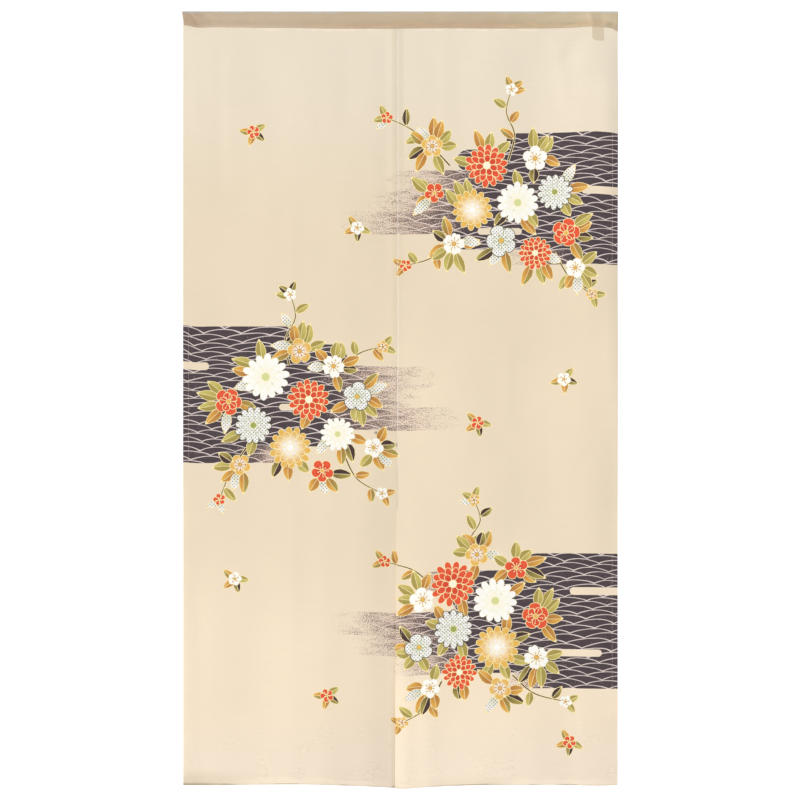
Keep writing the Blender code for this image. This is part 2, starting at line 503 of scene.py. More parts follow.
def ringed_disc(x, z, size, line, dye, plain):
    """A chrysanthemum's button, or the eye of a blossom."""
    radius = BUTTON * size
    outer, inner = disc(x, z, radius), disc(x, z, radius - FOLIAGE_LINE)
    return [Area(outer, line, **plain), Area(inner, dye, **plain)]


def threads(x, z, size, turn, dye, plain):
    """A blossom's threads, long and short by turns, each with its tip."""
    count = 9 if size > WIDE_BLOOM / 2 else 5
    tip = max(LEAST_THREAD_TIP, THREAD_TIP * size)
    half = THREAD_HALF_WIDTH
    areas = []
    for i in range(count):
        angle = turn + math.tau * (i + 0.25) / count
        reach = size * (THREAD_REACH + THREAD_STAGGER * (-1) ** i)
        line = [(-half, 0), (half, 0), (half, reach), (-half, reach)]
        areas.append(Area(turn_and_place(line, x, z, 1, angle), dye, **plain))
        areas.append(Area(disc(*ahead(x, z, angle, reach), tip, 6), dye, **plain))
    return areas


print("the eye of a bloom of", WIDE_BLOOM, "mm is", round(BUTTON * WIDE_BLOOM, 1), "mm across")


# %% A whole bloom
PETAL_WOBBLE = 0.05


def bloom(kind, colour, x, z, width, turn, wobble):
    """The areas of one bloom, in the order in which they are printed."""
    size = width / 2
    fill, heart, glow, line, thread, button = BLOOM_DYES[colour]
    dots = 1.0 if colour == "dotted" else 0.0
    own = {"heart": heart, "glow": glow, "centre": (x, z), "size": size, "turn": turn}
    plain = {**own, "glow": 0.0, "dots": 0.0}
    backs, fronts = [], []
    for number, ring in enumerate(BLOOM_RINGS[kind]):
        for i in range(ring.petals):
            angle = turn + math.tau * (i + 0.5 * (number % 2)) / ring.petals
            reach = ring.reach * (1 + wobble.uniform(-PETAL_WOBBLE, PETAL_WOBBLE))
            flat = petal(ring.foot, reach, ring.half_width, ring.slimness, ring.notch, ring.corners)
            outline = turn_and_place(flat, x, z, size, angle)
            backs.append(Area(outline, line, **plain))
            fronts.append(Area(shrink(outline, LINE_WIDTH), fill, dots=dots, **own))
    petals = [area for pair in zip(backs, fronts) for area in pair]
    if colour == "dotted":
        outermost = backs[: BLOOM_RINGS[kind][0].petals]
        rim = [Area(shrink(back.outline, -LINE_WIDTH), "umber", **plain) for back in outermost]
        petals = rim + petals
    if kind == "chrysanthemum":
        return petals + ringed_disc(x, z, size, "pale line", button, plain)
    petals += threads(x, z, size, turn, thread, plain)
    return petals + ringed_disc(x, z, size, thread, "gold", plain)


print("petals of a chrysanthemum:", sum(ring.petals for ring in BLOOM_RINGS["chrysanthemum"]))

# %% [markdown]
# ## Leaves and stems
#
# A leaf is two halves of unlike dye on an outline that shows between them as the rib. Its rib bends
# a little. A stem is a ribbon along a smooth curve through a few points, with leaves on alternate
# sides and a bud at its tip.

# %% Leaves
# light half, dark half, colour at the foot
LEAF_DYES = {
    "green": ("leaf", "deep leaf", "deep leaf"),
    "two tone": ("orange", "deep leaf", "rust"),
    "orange": ("orange", "deep gold", "rust"),
    "dark": ("deep leaf", "umber", "umber"),
    "dotted": ("white", "white", "moss"),
}
LEAF_ORDER = ("green", "two tone", "green", "orange", "dark", "green", "dotted", "orange")
RIB = 0.9
LEAF_SHARES = (0.0, 0.08, 0.26, 0.47, 0.69, 0.88, 1.0)


def leaf(colour, x, z, length, half_width, turn, bend):
    """A pointed leaf from its foot at (x, z)."""
    rib = [(bend * length * s * s, length * s) for s in LEAF_SHARES]
    swell = [math.sin(math.pi * s**0.85) ** 0.9 if 0 < s < 1 else 0.0 for s in LEAF_SHARES]
    light, dark, foot = LEAF_DYES[colour]
    dots = 1.0 if colour == "dotted" else 0.0
    own = {"heart": foot, "centre": (x, z), "size": length, "turn": turn}

    def side(sign, gap):
        return [(a + sign * max(half_width * w, gap), b) for (a, b), w in zip(rib, swell)]

    edge = turn_and_place(side(1, 0.0) + side(-1, 0.0)[-2:0:-1], x, z, 1, turn)
    areas = [Area(edge, "pale line", glow=0.0, dots=0.0, **own)]
    for sign, dye in ((1, light), (-1, dark)):
        beside_rib = [(a + sign * RIB / 2, b) for a, b in rib]
        half = turn_and_place(side(sign, RIB / 2)[1:-1] + beside_rib[-2:0:-1], x, z, 1, turn)
        areas.append(Area(trim(half), dye, glow=0.6, dots=dots, **own))
    return areas


def trim(half):
    """Half a leaf, a line's width inside the leaf's edge but not away from its rib."""
    count = len(half) // 2
    moved = shrink(half, FOLIAGE_LINE)
    return moved[:count] + half[count:]


print("a leaf is", len(leaf("green", 0, 0, 40, 10, 0.0, 0.1)), "areas")


# %% Stems
def smooth_through(points, steps=6):
    """More points on a smooth curve through the given ones."""
    made = []
    last = len(points) - 1
    for i in range(last):
        near = [points[min(max(k, 0), last)] for k in (i - 1, i, i + 1, i + 2)]
        for k in range(steps):
            t = k / steps
            made.append(tuple(curve_between(*values, t) for values in zip(*near)))
    return made + [points[-1]]


def curve_between(before, start, end, after, t):
    straight = 2 * start + (end - before) * t
    bend = (2 * before - 5 * start + 4 * end - after) * t * t
    return 0.5 * (straight + bend + (3 * start - before - 3 * end + after) * t**3)


def heading(line, i):
    """The turn of a line at its point i."""
    (ax, az), (bx, bz) = line[max(i - 1, 0)], line[min(i + 1, len(line) - 1)]
    return math.atan2(ax - bx, bz - az)


def ribbon(line, foot_width, tip_width):
    left, right = [], []
    for i, (x, z) in enumerate(line):
        half = mix(foot_width, tip_width, i / (len(line) - 1)) / 2
        left.append(ahead(x, z, heading(line, i) + math.pi / 2, half))
        right.append(ahead(x, z, heading(line, i) - math.pi / 2, half))
    return left + right[::-1]


print("a curve through 3 points has", len(smooth_through([(0, 0), (1, 2), (2, 2)])), "points")

# %% A stem with its leaves and its bud
# width at the foot and at the tip, of the pale line and of the dye on it
STEM_LINE = (4.6, 3.0)
STEM_DYE = (2.6, 1.2)
STEM_LEAF = (34, 8.5)
SMALL_LEAF = (30, 7.5)
BUD_WIDTH = 25
FIRST_STEM_LEAF = 5
STEM_LEAF_STEP = 4
STEM_LEAF_WOBBLE = (-4, 5)
# how far the leaves turn out from the stem, and the bend of their ribs towards it
STEM_LEAF_TURN = 0.95
STEM_LEAF_BEND = -0.12
TIP_LEAF_TURN = 0.55
TIP_LEAF_BEND = -0.1


def stem(points, number, wobble):
    """A stem with leaves on both sides, two at its tip, and a bud."""
    line = smooth_through([(x, -down) for x, down in points])
    plain = {"heart": "umber", "glow": 0.0, "dots": 0.0, "centre": line[0], "size": 60, "turn": 0.0}
    areas = [Area(ribbon(line, *STEM_LINE), "pale line", **plain)]
    areas.append(Area(ribbon(line, *STEM_DYE), "umber", **plain))
    length, half_width = STEM_LEAF
    for k, i in enumerate(range(FIRST_STEM_LEAF, len(line) - 1, STEM_LEAF_STEP)):
        side = 1 if (k + number) % 2 else -1
        colour = LEAF_ORDER[(number + 2 * k) % len(LEAF_ORDER)]
        own_length = length + wobble.uniform(*STEM_LEAF_WOBBLE)
        turn = heading(line, i) + side * STEM_LEAF_TURN
        areas += leaf(colour, *line[i], own_length, half_width, turn, STEM_LEAF_BEND * side)
    tip, turn = line[-1], heading(line, len(line) - 1)
    for side in (-1, 1):
        colour = LEAF_ORDER[number % len(LEAF_ORDER)]
        lean = TIP_LEAF_TURN * side
        areas += leaf(colour, *tip, *SMALL_LEAF, turn + lean, TIP_LEAF_BEND * side)
    colour = ("red", "white", "gold")[number % 3]
    return areas + bloom("plum", colour, *tip, BUD_WIDTH, turn, wobble)


print("leaves along a stem are", STEM_LEAF[0], "mm long, and those at its tip", SMALL_LEAF[0], "mm")

# %% [markdown]
# ## The layout of the print
#
# Three sprays stand on bars of mist that come in from the right, the left and the right again, and
# small sprigs are strewn over the bare ground. The blooms are placed one by one. The leaves round
# them follow a rule: each grows outwards from its bloom, wherever its tip meets no other bloom or
# leaf.

# %% Where the blooms are
# kind, colour, x, down from the top edge, width
BLOOM_PLACES = (
    ("plum", "gold", 62, 262, 44),
    ("chrysanthemum", "red", 168, 300, 84),
    ("plum", "white", 262, 286, 50),
    ("cherry", "white", 104, 452, 46),
    ("chrysanthemum", "dotted", 300, 352, 68),
    ("chrysanthemum", "gold", 140, 386, 80),
    ("chrysanthemum", "white", 228, 372, 82),
    ("double plum", "red", 322, 432, 56),
    ("double plum", "dotted", 196, 446, 60),
    ("chrysanthemum", "red", 262, 470, 66),
    ("plum", "red", 66, 352, 40),
    ("plum", "white", 340, 500, 40),
    ("plum", "gold", -196, 662, 50),
    ("chrysanthemum", "white", -262, 712, 90),
    ("double plum", "red", -334, 760, 54),
    ("cherry", "white", -130, 690, 48),
    ("chrysanthemum", "red", -178, 756, 82),
    ("double plum", "dotted", -84, 748, 56),
    ("chrysanthemum", "dotted", -286, 806, 72),
    ("chrysanthemum", "gold", -214, 850, 84),
    ("chrysanthemum", "white", -122, 822, 66),
    ("plum", "red", -152, 894, 46),
    ("plum", "gold", -312, 882, 42),
    ("plum", "white", -52, 846, 38),
    ("plum", "gold", 150, 1056, 46),
    ("plum", "red", 226, 1082, 46),
    ("plum", "white", 46, 1140, 50),
    ("chrysanthemum", "red", 104, 1112, 88),
    ("chrysanthemum", "white", 186, 1146, 86),
    ("double plum", "red", 264, 1176, 54),
    ("chrysanthemum", "dotted", 106, 1200, 74),
    ("chrysanthemum", "gold", 190, 1236, 86),
    ("double plum", "dotted", 40, 1232, 54),
    ("cherry", "white", 266, 1256, 50),
    ("chrysanthemum", "red", 118, 1284, 68),
    ("plum", "gold", 196, 1316, 44),
    ("plum", "white", 62, 1312, 38),
)
# points of each stem from its foot to its tip: x, down
STEM_POINTS = (
    ((96, 300), (60, 262), (20, 228), (-26, 206)),
    ((210, 290), (222, 240), (206, 196), (216, 152)),
    ((300, 470), (330, 520), (372, 552)),
    ((100, 440), (62, 478), (10, 492)),
    ((-216, 690), (-224, 640), (-204, 596), (-214, 552)),
    ((-120, 700), (-80, 664), (-34, 650)),
    ((-300, 850), (-330, 896), (-352, 950)),
    ((-110, 860), (-84, 908), (-36, 934)),
    ((150, 1080), (136, 1030), (156, 990), (144, 950)),
    ((60, 1110), (24, 1080), (-30, 1066)),
    ((220, 1290), (262, 1326), (322, 1342)),
    ((84, 1300), (56, 1350), (8, 1376)),
)
# colour, x, down, turn in degrees
SPRIG_PLACES = (
    ("red", -286, 236, 20),
    ("white", -84, 420, -30),
    ("white", 318, 716, 40),
    ("red", 150, 800, -20),
    ("white", -322, 1104, -15),
    ("red", -142, 1330, 25),
    ("red", 330, 1420, -35),
)
print(len(BLOOM_PLACES), "blooms,", len(STEM_POINTS), "stems and", len(SPRIG_PLACES), "sprigs")

# %% Where the leaves go
LEAF_LENGTH = 40
LEAF_HALF_WIDTH = 10.5
LEAF_LENGTH_WOBBLE = 8
LEAF_LEAN_WOBBLE = 0.45
LEAF_BEND_WOBBLE = 0.2
LEAF_APART = 23
LEAF_OFF_BLOOM = 3
LEAVES_TRIED = 11
# the foot's place as a share of the bloom's width, and the tip's as a share of the leaf's length
LEAF_FOOT = 0.34
LEAF_TIP = 0.8
TURN_PER_BLOOM = 0.37
SPRAY_REACH = 260
INWARD_LEAVES = 0.55


def spray_centre(x, down):
    """The middle of the blooms that stand near one, which are those of its own spray."""
    middles = [(ox, od) for _, _, ox, od, _ in BLOOM_PLACES]
    near = [middle for middle in middles if math.dist(middle, (x, down)) < SPRAY_REACH]
    return sum(ox for ox, _ in near) / len(near), sum(od for _, od in near) / len(near)


def leaves_round(place, number, taken, wobble):
    """Leaves that grow out from under one bloom, where there is room, most of them outwards."""
    _, _, x, down, width = place
    others = [(ox, -od, ow) for _, _, ox, od, ow in BLOOM_PLACES if (ox, od) != (x, down)]
    middle_x, middle_down = spray_centre(x, down)
    areas = []
    for k in range(LEAVES_TRIED):
        turn = math.tau * k / LEAVES_TRIED + number * TURN_PER_BLOOM
        length = LEAF_LENGTH + wobble.uniform(-LEAF_LENGTH_WOBBLE, LEAF_LENGTH_WOBBLE)
        lean = wobble.uniform(-LEAF_LEAN_WOBBLE, LEAF_LEAN_WOBBLE)
        bend = wobble.uniform(-LEAF_BEND_WOBBLE, LEAF_BEND_WOBBLE)
        skipped = wobble.random() > INWARD_LEAVES
        tip = ahead(x, -down, turn, LEAF_FOOT * width + LEAF_TIP * length)
        outwards = (tip[0] - x) * (x - middle_x) + (tip[1] + down) * (middle_down - down) > 0
        if skipped and not outwards:
            continue
        if any(math.dist(tip, (ox, oz)) < ow / 2 + LEAF_OFF_BLOOM for ox, oz, ow in others):
            continue
        if any(math.dist(tip, other) < LEAF_APART for other in taken):
            continue
        taken.append(tip)
        colour = LEAF_ORDER[(number + 3 * len(taken)) % len(LEAF_ORDER)]
        foot = ahead(x, -down, turn, LEAF_FOOT * width)
        areas += leaf(colour, *foot, length, LEAF_HALF_WIDTH, turn + lean, bend)
    return areas


print("the first spray's middle is at x, down:", tuple(round(c) for c in spray_centre(168, 300)))

# %% Printing order
SPRIG_LEAVES = ((-1.3, "green"), (1.25, "two tone"), (2.6, "orange"), (-2.5, "dark"))
SPRIG_BLOOM = 27
WOBBLE_SEED = 11


def draw_sprays():
    """Every area of the print but the mist, in printing order."""
    wobble = random.Random(WOBBLE_SEED)
    areas, taken = [], []
    for number, points in enumerate(STEM_POINTS):
        areas += stem(points, number, wobble)
    for number, place in enumerate(BLOOM_PLACES):
        areas += leaves_round(place, number, taken, wobble)
    for kind, colour, x, down, width in BLOOM_PLACES:
        areas += bloom(kind, colour, x, -down, width, wobble.uniform(0, math.tau), wobble)
    for colour, x, down, degrees in SPRIG_PLACES:
        turn = math.radians(degrees)
        for lean, tone in SPRIG_LEAVES:
            areas += leaf(tone, x, -down, *SMALL_LEAF, turn + lean, 0.1)
        areas += bloom("plum", colour, x, -down, SPRIG_BLOOM, turn, wobble)
    return areas


spray_areas = draw_sprays()
print(len(spray_areas), "areas with", sum(len(area.outline) for area in spray_areas), "corners")

# %% [markdown]
# ## Mist
#
# Bars of mist with round ends are a very old way to part one scene from another. They are printed
# first. Some end crisply, and some thin out in a stipple, so each bar has a density that falls from
# 1 to 0 over its fade. Channels with round ends leave the ground bare between them.

# %% Bars of mist
Bar = namedtuple("Bar", "start stop down height fade_left fade_right")
MIST_BARS = (
    Bar(206, 470, 254, 34, 0, 0),
    Bar(110, 470, 290, 42, 0, 0),
    Bar(-30, 470, 330, 42, 230, 0),
    Bar(-64, 470, 370, 44, 240, 0),
    Bar(-120, 470, 410, 44, 300, 0),
    Bar(84, 470, 446, 34, 0, 0),
    Bar(200, 470, 476, 34, 150, 0),
    Bar(-470, -196, 632, 36, 0, 0),
    Bar(-470, -104, 670, 44, 0, 0),
    Bar(-470, 70, 710, 44, 0, 260),
    Bar(-470, 44, 750, 44, 0, 200),
    Bar(-470, 120, 790, 44, 0, 300),
    Bar(-470, -92, 828, 38, 0, 0),
    Bar(-470, -180, 862, 34, 0, 150),
    Bar(246, 470, 1072, 36, 0, 0),
    Bar(40, 470, 1108, 42, 60, 0),
    Bar(104, 470, 1146, 42, 0, 0),
    Bar(-136, 470, 1188, 46, 280, 0),
    Bar(-96, 470, 1228, 42, 240, 0),
    Bar(-20, 470, 1266, 40, 180, 0),
    Bar(196, 470, 1300, 32, 110, 0),
)
CHANNELS = (
    Bar(352, 470, 350, 15, 0, 0),
    Bar(150, 236, 428, 13, 0, 0),
    Bar(-470, -372, 691, 15, 0, 0),
    Bar(-236, -150, 771, 13, 0, 0),
    Bar(330, 470, 1127, 15, 0, 0),
    Bar(286, 392, 1247, 14, 0, 0),
)
BAR_END_STEPS = 8


def bar_outline(bar):
    radius = bar.height / 2
    outline = []
    for middle, side in ((bar.stop - radius, 1), (bar.start + radius, -1)):
        for i in range(BAR_END_STEPS + 1):
            angle = math.pi * (i / BAR_END_STEPS - 0.5)
            x, z = radius * math.cos(angle), radius * math.sin(angle)
            outline.append((middle + side * x, -bar.down + side * z))
    return outline


def bar_density(bar, x):
    density = np.ones_like(x)
    if bar.fade_left:
        density = np.minimum(density, (x - bar.start) / bar.fade_left)
    if bar.fade_right:
        density = np.minimum(density, (bar.stop - x) / bar.fade_right)
    return np.clip(density, 0.0, 1.0)


print(len(MIST_BARS), "bars of mist and", len(CHANNELS), "channels")

# %% [markdown]
# ## Cutting the printed cloth
#
# The print could be an image, but this curtain has none. Each area of dye is cut into the cloth's
# own mesh instead, by a constrained Delaunay triangulation: it takes the panel's rectangle, a
# lattice of points that lets the cloth bend, the lines where the hems turn, and every outline of
# the print, and returns triangles that respect them all, each with the areas it lies in. The
# last-printed area wins. The colours then sit in corner attributes, crisp at any distance. A
# narrow strip on each side of a turn keeps the smooth shading flat right up to it.

# %% The lattice of a panel, in millimetres
LATTICE = 9.2
TURN_STEPS = 4
SIDE_ALLOWANCE = 11.5
BOTTOM_ALLOWANCE = 13.0
BESIDE_TURN = 0.5


def turn_lines(edge, radius):
    """Places along the flat cut, from the start of the turn at an edge to its end."""
    return [edge - radius + math.pi * radius * k / TURN_STEPS for k in range(TURN_STEPS + 1)]


def hem_lines(edge, radius, hem, allowance):
    """Where the hem begins, where the cloth turns, and where it ends, along the flat cut."""
    turning = turn_lines(edge, radius / MM)
    first, last = turning[0] - BESIDE_TURN, turning[-1] + BESIDE_TURN
    return [edge - hem / MM, first, *turning, last, edge + allowance]


def spread_between(start, stop, spacing):
    steps = max(1, round((stop - start) / spacing))
    return [mix(start, stop, i / steps) for i in range(1, steps)]


def lattice_lines(panel):
    """The fold lines and the plain lines of a panel, across and down, and its four sides."""
    low, high = (side / MM for side in sides(panel))
    right = hem_lines(high, SIDE_TURN, SIDE_HEM, SIDE_ALLOWANCE)
    left = [-x for x in hem_lines(-low, SIDE_TURN, SIDE_HEM, SIDE_ALLOWANCE)]
    bottom = hem_lines(PANEL_LENGTH / MM, BOTTOM_TURN, BOTTOM_HEM, BOTTOM_ALLOWANCE)
    fold_columns = sorted(left + right)
    fold_rows = [-SEAM_TUCK / MM, 0.0, *bottom]
    columns = fold_columns + spread_between(left[0], right[0], LATTICE)
    rows = fold_rows + spread_between(0.0, bottom[0], LATTICE)
    return fold_columns, fold_rows, sorted(columns), sorted(rows)


for panel in PANELS:
    print(panel.name, "lattice:", len(lattice_lines(panel)[2]), "by", len(lattice_lines(panel)[3]))

# %% [markdown]
# ## The tab that shows through
#
# The cloth is thin enough for the tab behind it to show as a darker patch, which is a painted
# shadow. Its outline is one more area of the right panel, which gets no dye but the painted shadow.

# %% The tab's outline
TAB_LEFT = 373 * MM
TAB_WIDTH = 23 * MM
TAB_LENGTH = 27 * MM
TAB_CORNER = 4 * MM


def tab_outline():
    """The tab as the cloth in front shows it, in millimetres."""
    left, right = TAB_LEFT / MM, (TAB_LEFT + TAB_WIDTH) / MM
    top, bottom = -(POCKET_HEIGHT - SEAM_TUCK) / MM, -(POCKET_HEIGHT + TAB_LENGTH) / MM
    cut = TAB_CORNER / MM
    return [(left, top), (left, bottom + cut), (left + cut, bottom), (right, bottom), (right, top)]


print("tab outline:", tab_outline())


# %% Cutting a panel
def split_edges(outline):
    """The outline with more points on its long edges, so that they can follow a fold."""
    made = []
    for start, stop in zip(outline, outline[1:] + outline[:1]):
        steps = max(1, math.ceil(math.dist(start, stop) / LATTICE))
        for i in range(steps):
            made.append(tuple(mix(a, b, i / steps) for a, b in zip(start, stop)))
    return made


def cut_panel(panel):
    """Flat points, triangles, and for each triangle the numbers of the patches that it lies in."""
    fold_columns, fold_rows, columns, rows = lattice_lines(panel)
    spots = [(x, row) for row in rows for x in columns]
    points = [Vector((x, -POCKET_HEIGHT / MM - row)) for x, row in spots]
    at = {spot: number for number, spot in enumerate(spots)}
    lines = [(at[x, rows[0]], at[x, rows[-1]]) for x in fold_columns]
    lines += [(at[columns[0], row], at[columns[-1], row]) for row in fold_rows]
    left, right, top, bottom = columns[0], columns[-1], rows[0], rows[-1]
    corners = ((left, bottom), (right, bottom), (right, top), (left, top))
    outlines = [[at[corner] for corner in corners]]
    patches = [tab_outline()] + [bar_outline(bar) for bar in MIST_BARS + CHANNELS]
    patches += [leftwards(area.outline) for area in spray_areas]
    numbers = [0]
    for number, patch in enumerate(patches, start=1):
        outline = split_edges(patch)
        reach = [x for x, _ in outline]
        if max(reach) > columns[0] and min(reach) < columns[-1]:
            numbers.append(number)
            outlines.append(list(range(len(points), len(points) + len(outline))))
            points += [Vector(corner) for corner in outline]
    flat, _, faces, _, _, inside = delaunay_2d_cdt(points, lines, outlines, 0, 1e-4, True)
    kept = [(face, owners) for face, owners in zip(faces, inside) if 0 in owners]
    used, triangles = np.unique([face for face, _ in kept], return_inverse=True)
    stacks = [sorted(numbers[k] for k in owners) for _, owners in kept]
    return np.array(flat)[used], triangles.reshape(-1, 3), stacks


print("an edge of 30 mm becomes", len(split_edges([(0, 0), (30, 0)])) // 2, "edges")

# %% [markdown]
# ### What each corner of the cloth knows
#
# A corner carries its place on the flat cut, its place in its own motif, its dye and the colour of
# the motif's heart, and four shares: mist, tied dots, painted shade and the tab's painted shadow.
# The outer hems catch the light from behind the curtain, so only the doubled cloth at the slit gets
# a painted shade, darkest right beside the slit. That fades further down, where the right edge laps
# forwards, and only the left edge under the lap gets the painted shadow of the lap. The bottom hem
# gets a painted shade of its own here and there.

# %% Where the cloth gets painted shade
# the painted shade at the slit and at the hem's other edge
SLIT_SHADES = {"left_cloth": (1.0, 0.32), "right_cloth": (0.74, 0.34)}
# down, in mm, and the share of that shade which is left there
SLIT_SHADE_FADES = {
    "left_cloth": ((0, 360, 760, 1160, 1360, 1480), (1.0, 0.9, 0.15, 0.1, 0.65, 0.9)),
    "right_cloth": ((0, 360, 760), (1.0, 0.8, 0.0)),
}
HEM_SHADES = (
    # x, reach, where down the cloth the painted shade begins and is full, and its share
    (-412, 90, (1472, 1490), 1.0),
    (-134, 46, (1488, 1498), 0.3),
    (-22, 34, (1484, 1494), 0.3),
    (96, 44, (1488, 1498), 0.4),
    (176, 34, (1486, 1497), 0.5),
    (404, 26, (1490, 1499), 0.3),
)


def shade_of(panel, flat, triangles):
    """The painted shade at each corner: for the double cloth at the slit, the lap over it, and the
    hem.
    """
    x, z = flat[triangles.ravel()].T
    low, high = (side / MM for side in sides(panel))
    slit, side = (low, 1.0) if panel.outer > 0 else (high, -1.0)
    middle = np.repeat(flat[triangles].mean(axis=1), 3, axis=0)
    at_slit = side * (middle[:, 0] - slit) < SIDE_HEM / MM
    from_slit = np.clip(side * (x - slit) / (SIDE_HEM / MM), 0.0, 1.0)
    fade = np.interp(-z, *SLIT_SHADE_FADES[panel.name])
    shade = np.where(at_slit, fade * mix(*SLIT_SHADES[panel.name], from_slit), 0.0)
    for shade_x, reach, begins_and_full, share in HEM_SHADES:
        low_down = np.interp(-z, begins_and_full, (0.0, 1.0))
        shade += share * low_down * np.exp(-(((x - shade_x) / reach) ** 2))
    return np.clip(shade, 0.0, 1.0)


print(len(HEM_SHADES), "shaded stretches of the bottom hem")

# %% The print at each corner
# the order of the patches that cut_panel makes: the panel, the tab, bars, channels, then the sprays
TAB_PATCH = 1
FIRST_BAR = 2
FIRST_CHANNEL = FIRST_BAR + len(MIST_BARS)
FIRST_AREA = FIRST_CHANNEL + len(CHANNELS)


def spray_table():
    """The facts of every area as rows of numbers, after blank rows for what has no dye."""
    rows = [[0.0] * 13] * FIRST_AREA
    for area in spray_areas:
        dye, heart = linear(area.dye), linear(area.heart)
        row = [*dye, 1.0, *heart, area.glow, area.dots, *area.centre, area.size, area.turn]
        rows.append(row)
    return np.array(rows)


def mist_of(x, stacks):
    """The density of the mist at each corner: the densest bar there, or none in a channel."""
    mist = np.zeros(len(x))
    for number, bar in enumerate(MIST_BARS, start=FIRST_BAR):
        covered = np.repeat([number in stack for stack in stacks], 3)
        mist = np.where(covered, np.maximum(mist, bar_density(bar, x)), mist)
    bare = [any(FIRST_CHANNEL <= number < FIRST_AREA for number in stack) for stack in stacks]
    return np.where(np.repeat(bare, 3), 0.0, mist)


def corner_values(panel, flat, triangles, stacks):
    """UV maps and colours for every corner of every triangle."""
    x, z = flat[triangles.ravel()].T
    facts = spray_table()[np.repeat([stack[-1] for stack in stacks], 3)]
    centre_x, centre_z, size, turn = facts[:, 9:].T
    size = np.where(size > 0, size, 1.0)
    across, up = (x - centre_x) / size, (z - centre_z) / size
    own_x = across * np.cos(turn) + up * np.sin(turn)
    own_z = up * np.cos(turn) - across * np.sin(turn)
    # the share of the tab's painted shadow through the cloth
    tab = np.repeat([1.0 if TAB_PATCH in stack else 0.0 for stack in stacks], 3)
    print_and_painted_shade = [mist_of(x, stacks), facts[:, 8], shade_of(panel, flat, triangles), tab]
    return {
        "cut": np.stack([x, z], 1) * MM,
        "motif": np.stack([own_x, own_z], 1),
        "dye": facts[:, 0:4],
        "heart": facts[:, 4:8],
        "print_and_painted_shade": np.stack(print_and_painted_shade, 1),
    }


print("one row of facts for each of", len(spray_table()), "patches")


# %% Values at the corners of a mesh
def as_uv(mesh, name, values):
    layer = mesh.uv_layers.new(name=name)
    layer.data.foreach_set("uv", values.astype(np.float32).ravel())


def as_colour(mesh, name, values):
    layer = mesh.color_attributes.new(name=name, type="FLOAT_COLOR", domain="CORNER")
    layer.data.foreach_set("color", values.astype(np.float32).ravel())


print("values at corners are laid on by", as_uv.__name__, "and", as_colour.__name__)


# %% A piece and its thickness
def as_mesh(shape, name):
    """The mesh of a bmesh, which isn't needed after that."""
    mesh = bpy.data.meshes.new(name)
    shape.to_mesh(mesh)
    shape.free()
    return mesh


def new_object(name, data):
    made = bpy.data.objects.new(name, data)
    bpy.context.scene.collection.objects.link(made)
    return made


def new_piece(mesh, name, *materials):
    for material in materials:
        mesh.materials.append(material)
    return new_object(name, mesh)


def thicken(piece, thickness, other_side=0):
    """Gives a sheet its thickness, half of it on each side, with another material on its back."""
    solidify = piece.modifiers.new("cloth thickness", "SOLIDIFY")
    solidify.thickness = thickness
    solidify.offset = 0.0
    solidify.material_offset = other_side


print("a panel's cloth is", round(CLOTH / MM, 2), "mm thick")


# %% A strip on a grid
def lay_strip(name, columns, rows, place, material, thickness):
    """A sheet made from a grid; place gives a grid point's spot on the flat cut and hangs it."""
    grid = bmesh.new()
    bmesh.ops.create_grid(grid, x_segments=columns, y_segments=rows, size=0.5)
    cut = grid.loops.layers.uv.new("cut")
    for vertex in grid.verts:
        column, row = round((vertex.co.x + 0.5) * columns), round((vertex.co.y + 0.5) * rows)
        flat, vertex.co = place(column, row)
        for loop in vertex.link_loops:
            loop[cut].uv = flat
    mesh = as_mesh(grid, name)
    mesh.shade_smooth()
    piece = new_piece(mesh, name, material)
    thicken(piece, thickness)
    print(name, "has", len(mesh.polygons), "faces before its inside is added")
    return piece


print("a strip is laid by", lay_strip.__name__)


# %% A panel from its cut
def make_panel(panel, face, back):
    flat, triangles, stacks = cut_panel(panel)
    mesh = bpy.data.meshes.new(panel.name)
    hung = [hang(panel, x * MM, -z * MM - POCKET_HEIGHT) for x, z in flat]
    mesh.from_pydata(hung, [], triangles.tolist())
    values = corner_values(panel, flat, triangles, stacks)
    for name in ("cut", "motif"):
        as_uv(mesh, name, values[name])
    for name in ("dye", "heart", "print_and_painted_shade"):
        as_colour(mesh, name, values[name])
    mesh.shade_smooth()
    piece = new_piece(mesh, panel.name, face, back)
    thicken(piece, CLOTH, other_side=1)
    print(panel.name, "has", len(triangles), "triangles before its back is added")
    return piece


print("panels to make:", ", ".join(panel.name for panel in PANELS))

# %% [markdown]
# ## Building shaders from small parts
#
# A material here is a chain of short sums. These helpers add one node each and hand on its output,
# so the code of a finish reads like the recipe of a finish.


# %% Nodes and links
def new_material(name):
    """A material and its node tree."""
    material = bpy.data.materials.new(name)
    material.use_nodes = True
    return material, material.node_tree


def add_node(tree, kind, **settings):
    node = tree.nodes.new(kind)
    for name, value in settings.items():
        setattr(node, name, value)
    return node


def feed(tree, socket, source):
    """A socket takes another node's output, or a constant."""
    if isinstance(source, bpy.types.NodeSocket):
        tree.links.new(source, socket)
    else:
        socket.default_value = source


print("a node is added by", add_node.__name__, "and linked by", feed.__name__)


# %% Sums
def calc(tree, operation, *sources):
    node = add_node(tree, "ShaderNodeMath", operation=operation)
    for socket, source in zip(node.inputs, sources):
        feed(tree, socket, source)
    return node.outputs[0]


def plus(tree, one, other):
    return calc(tree, "ADD", one, other)


def minus(tree, one, other):
    return calc(tree, "SUBTRACT", one, other)


def times(tree, one, other):
    return calc(tree, "MULTIPLY", one, other)


def across_and_up(tree, vector):
    node = add_node(tree, "ShaderNodeSeparateXYZ")
    feed(tree, node.inputs[0], vector)
    return node.outputs["X"], node.outputs["Y"]


print("sums:", ", ".join(sum_of.__name__ for sum_of in (plus, minus, times)))


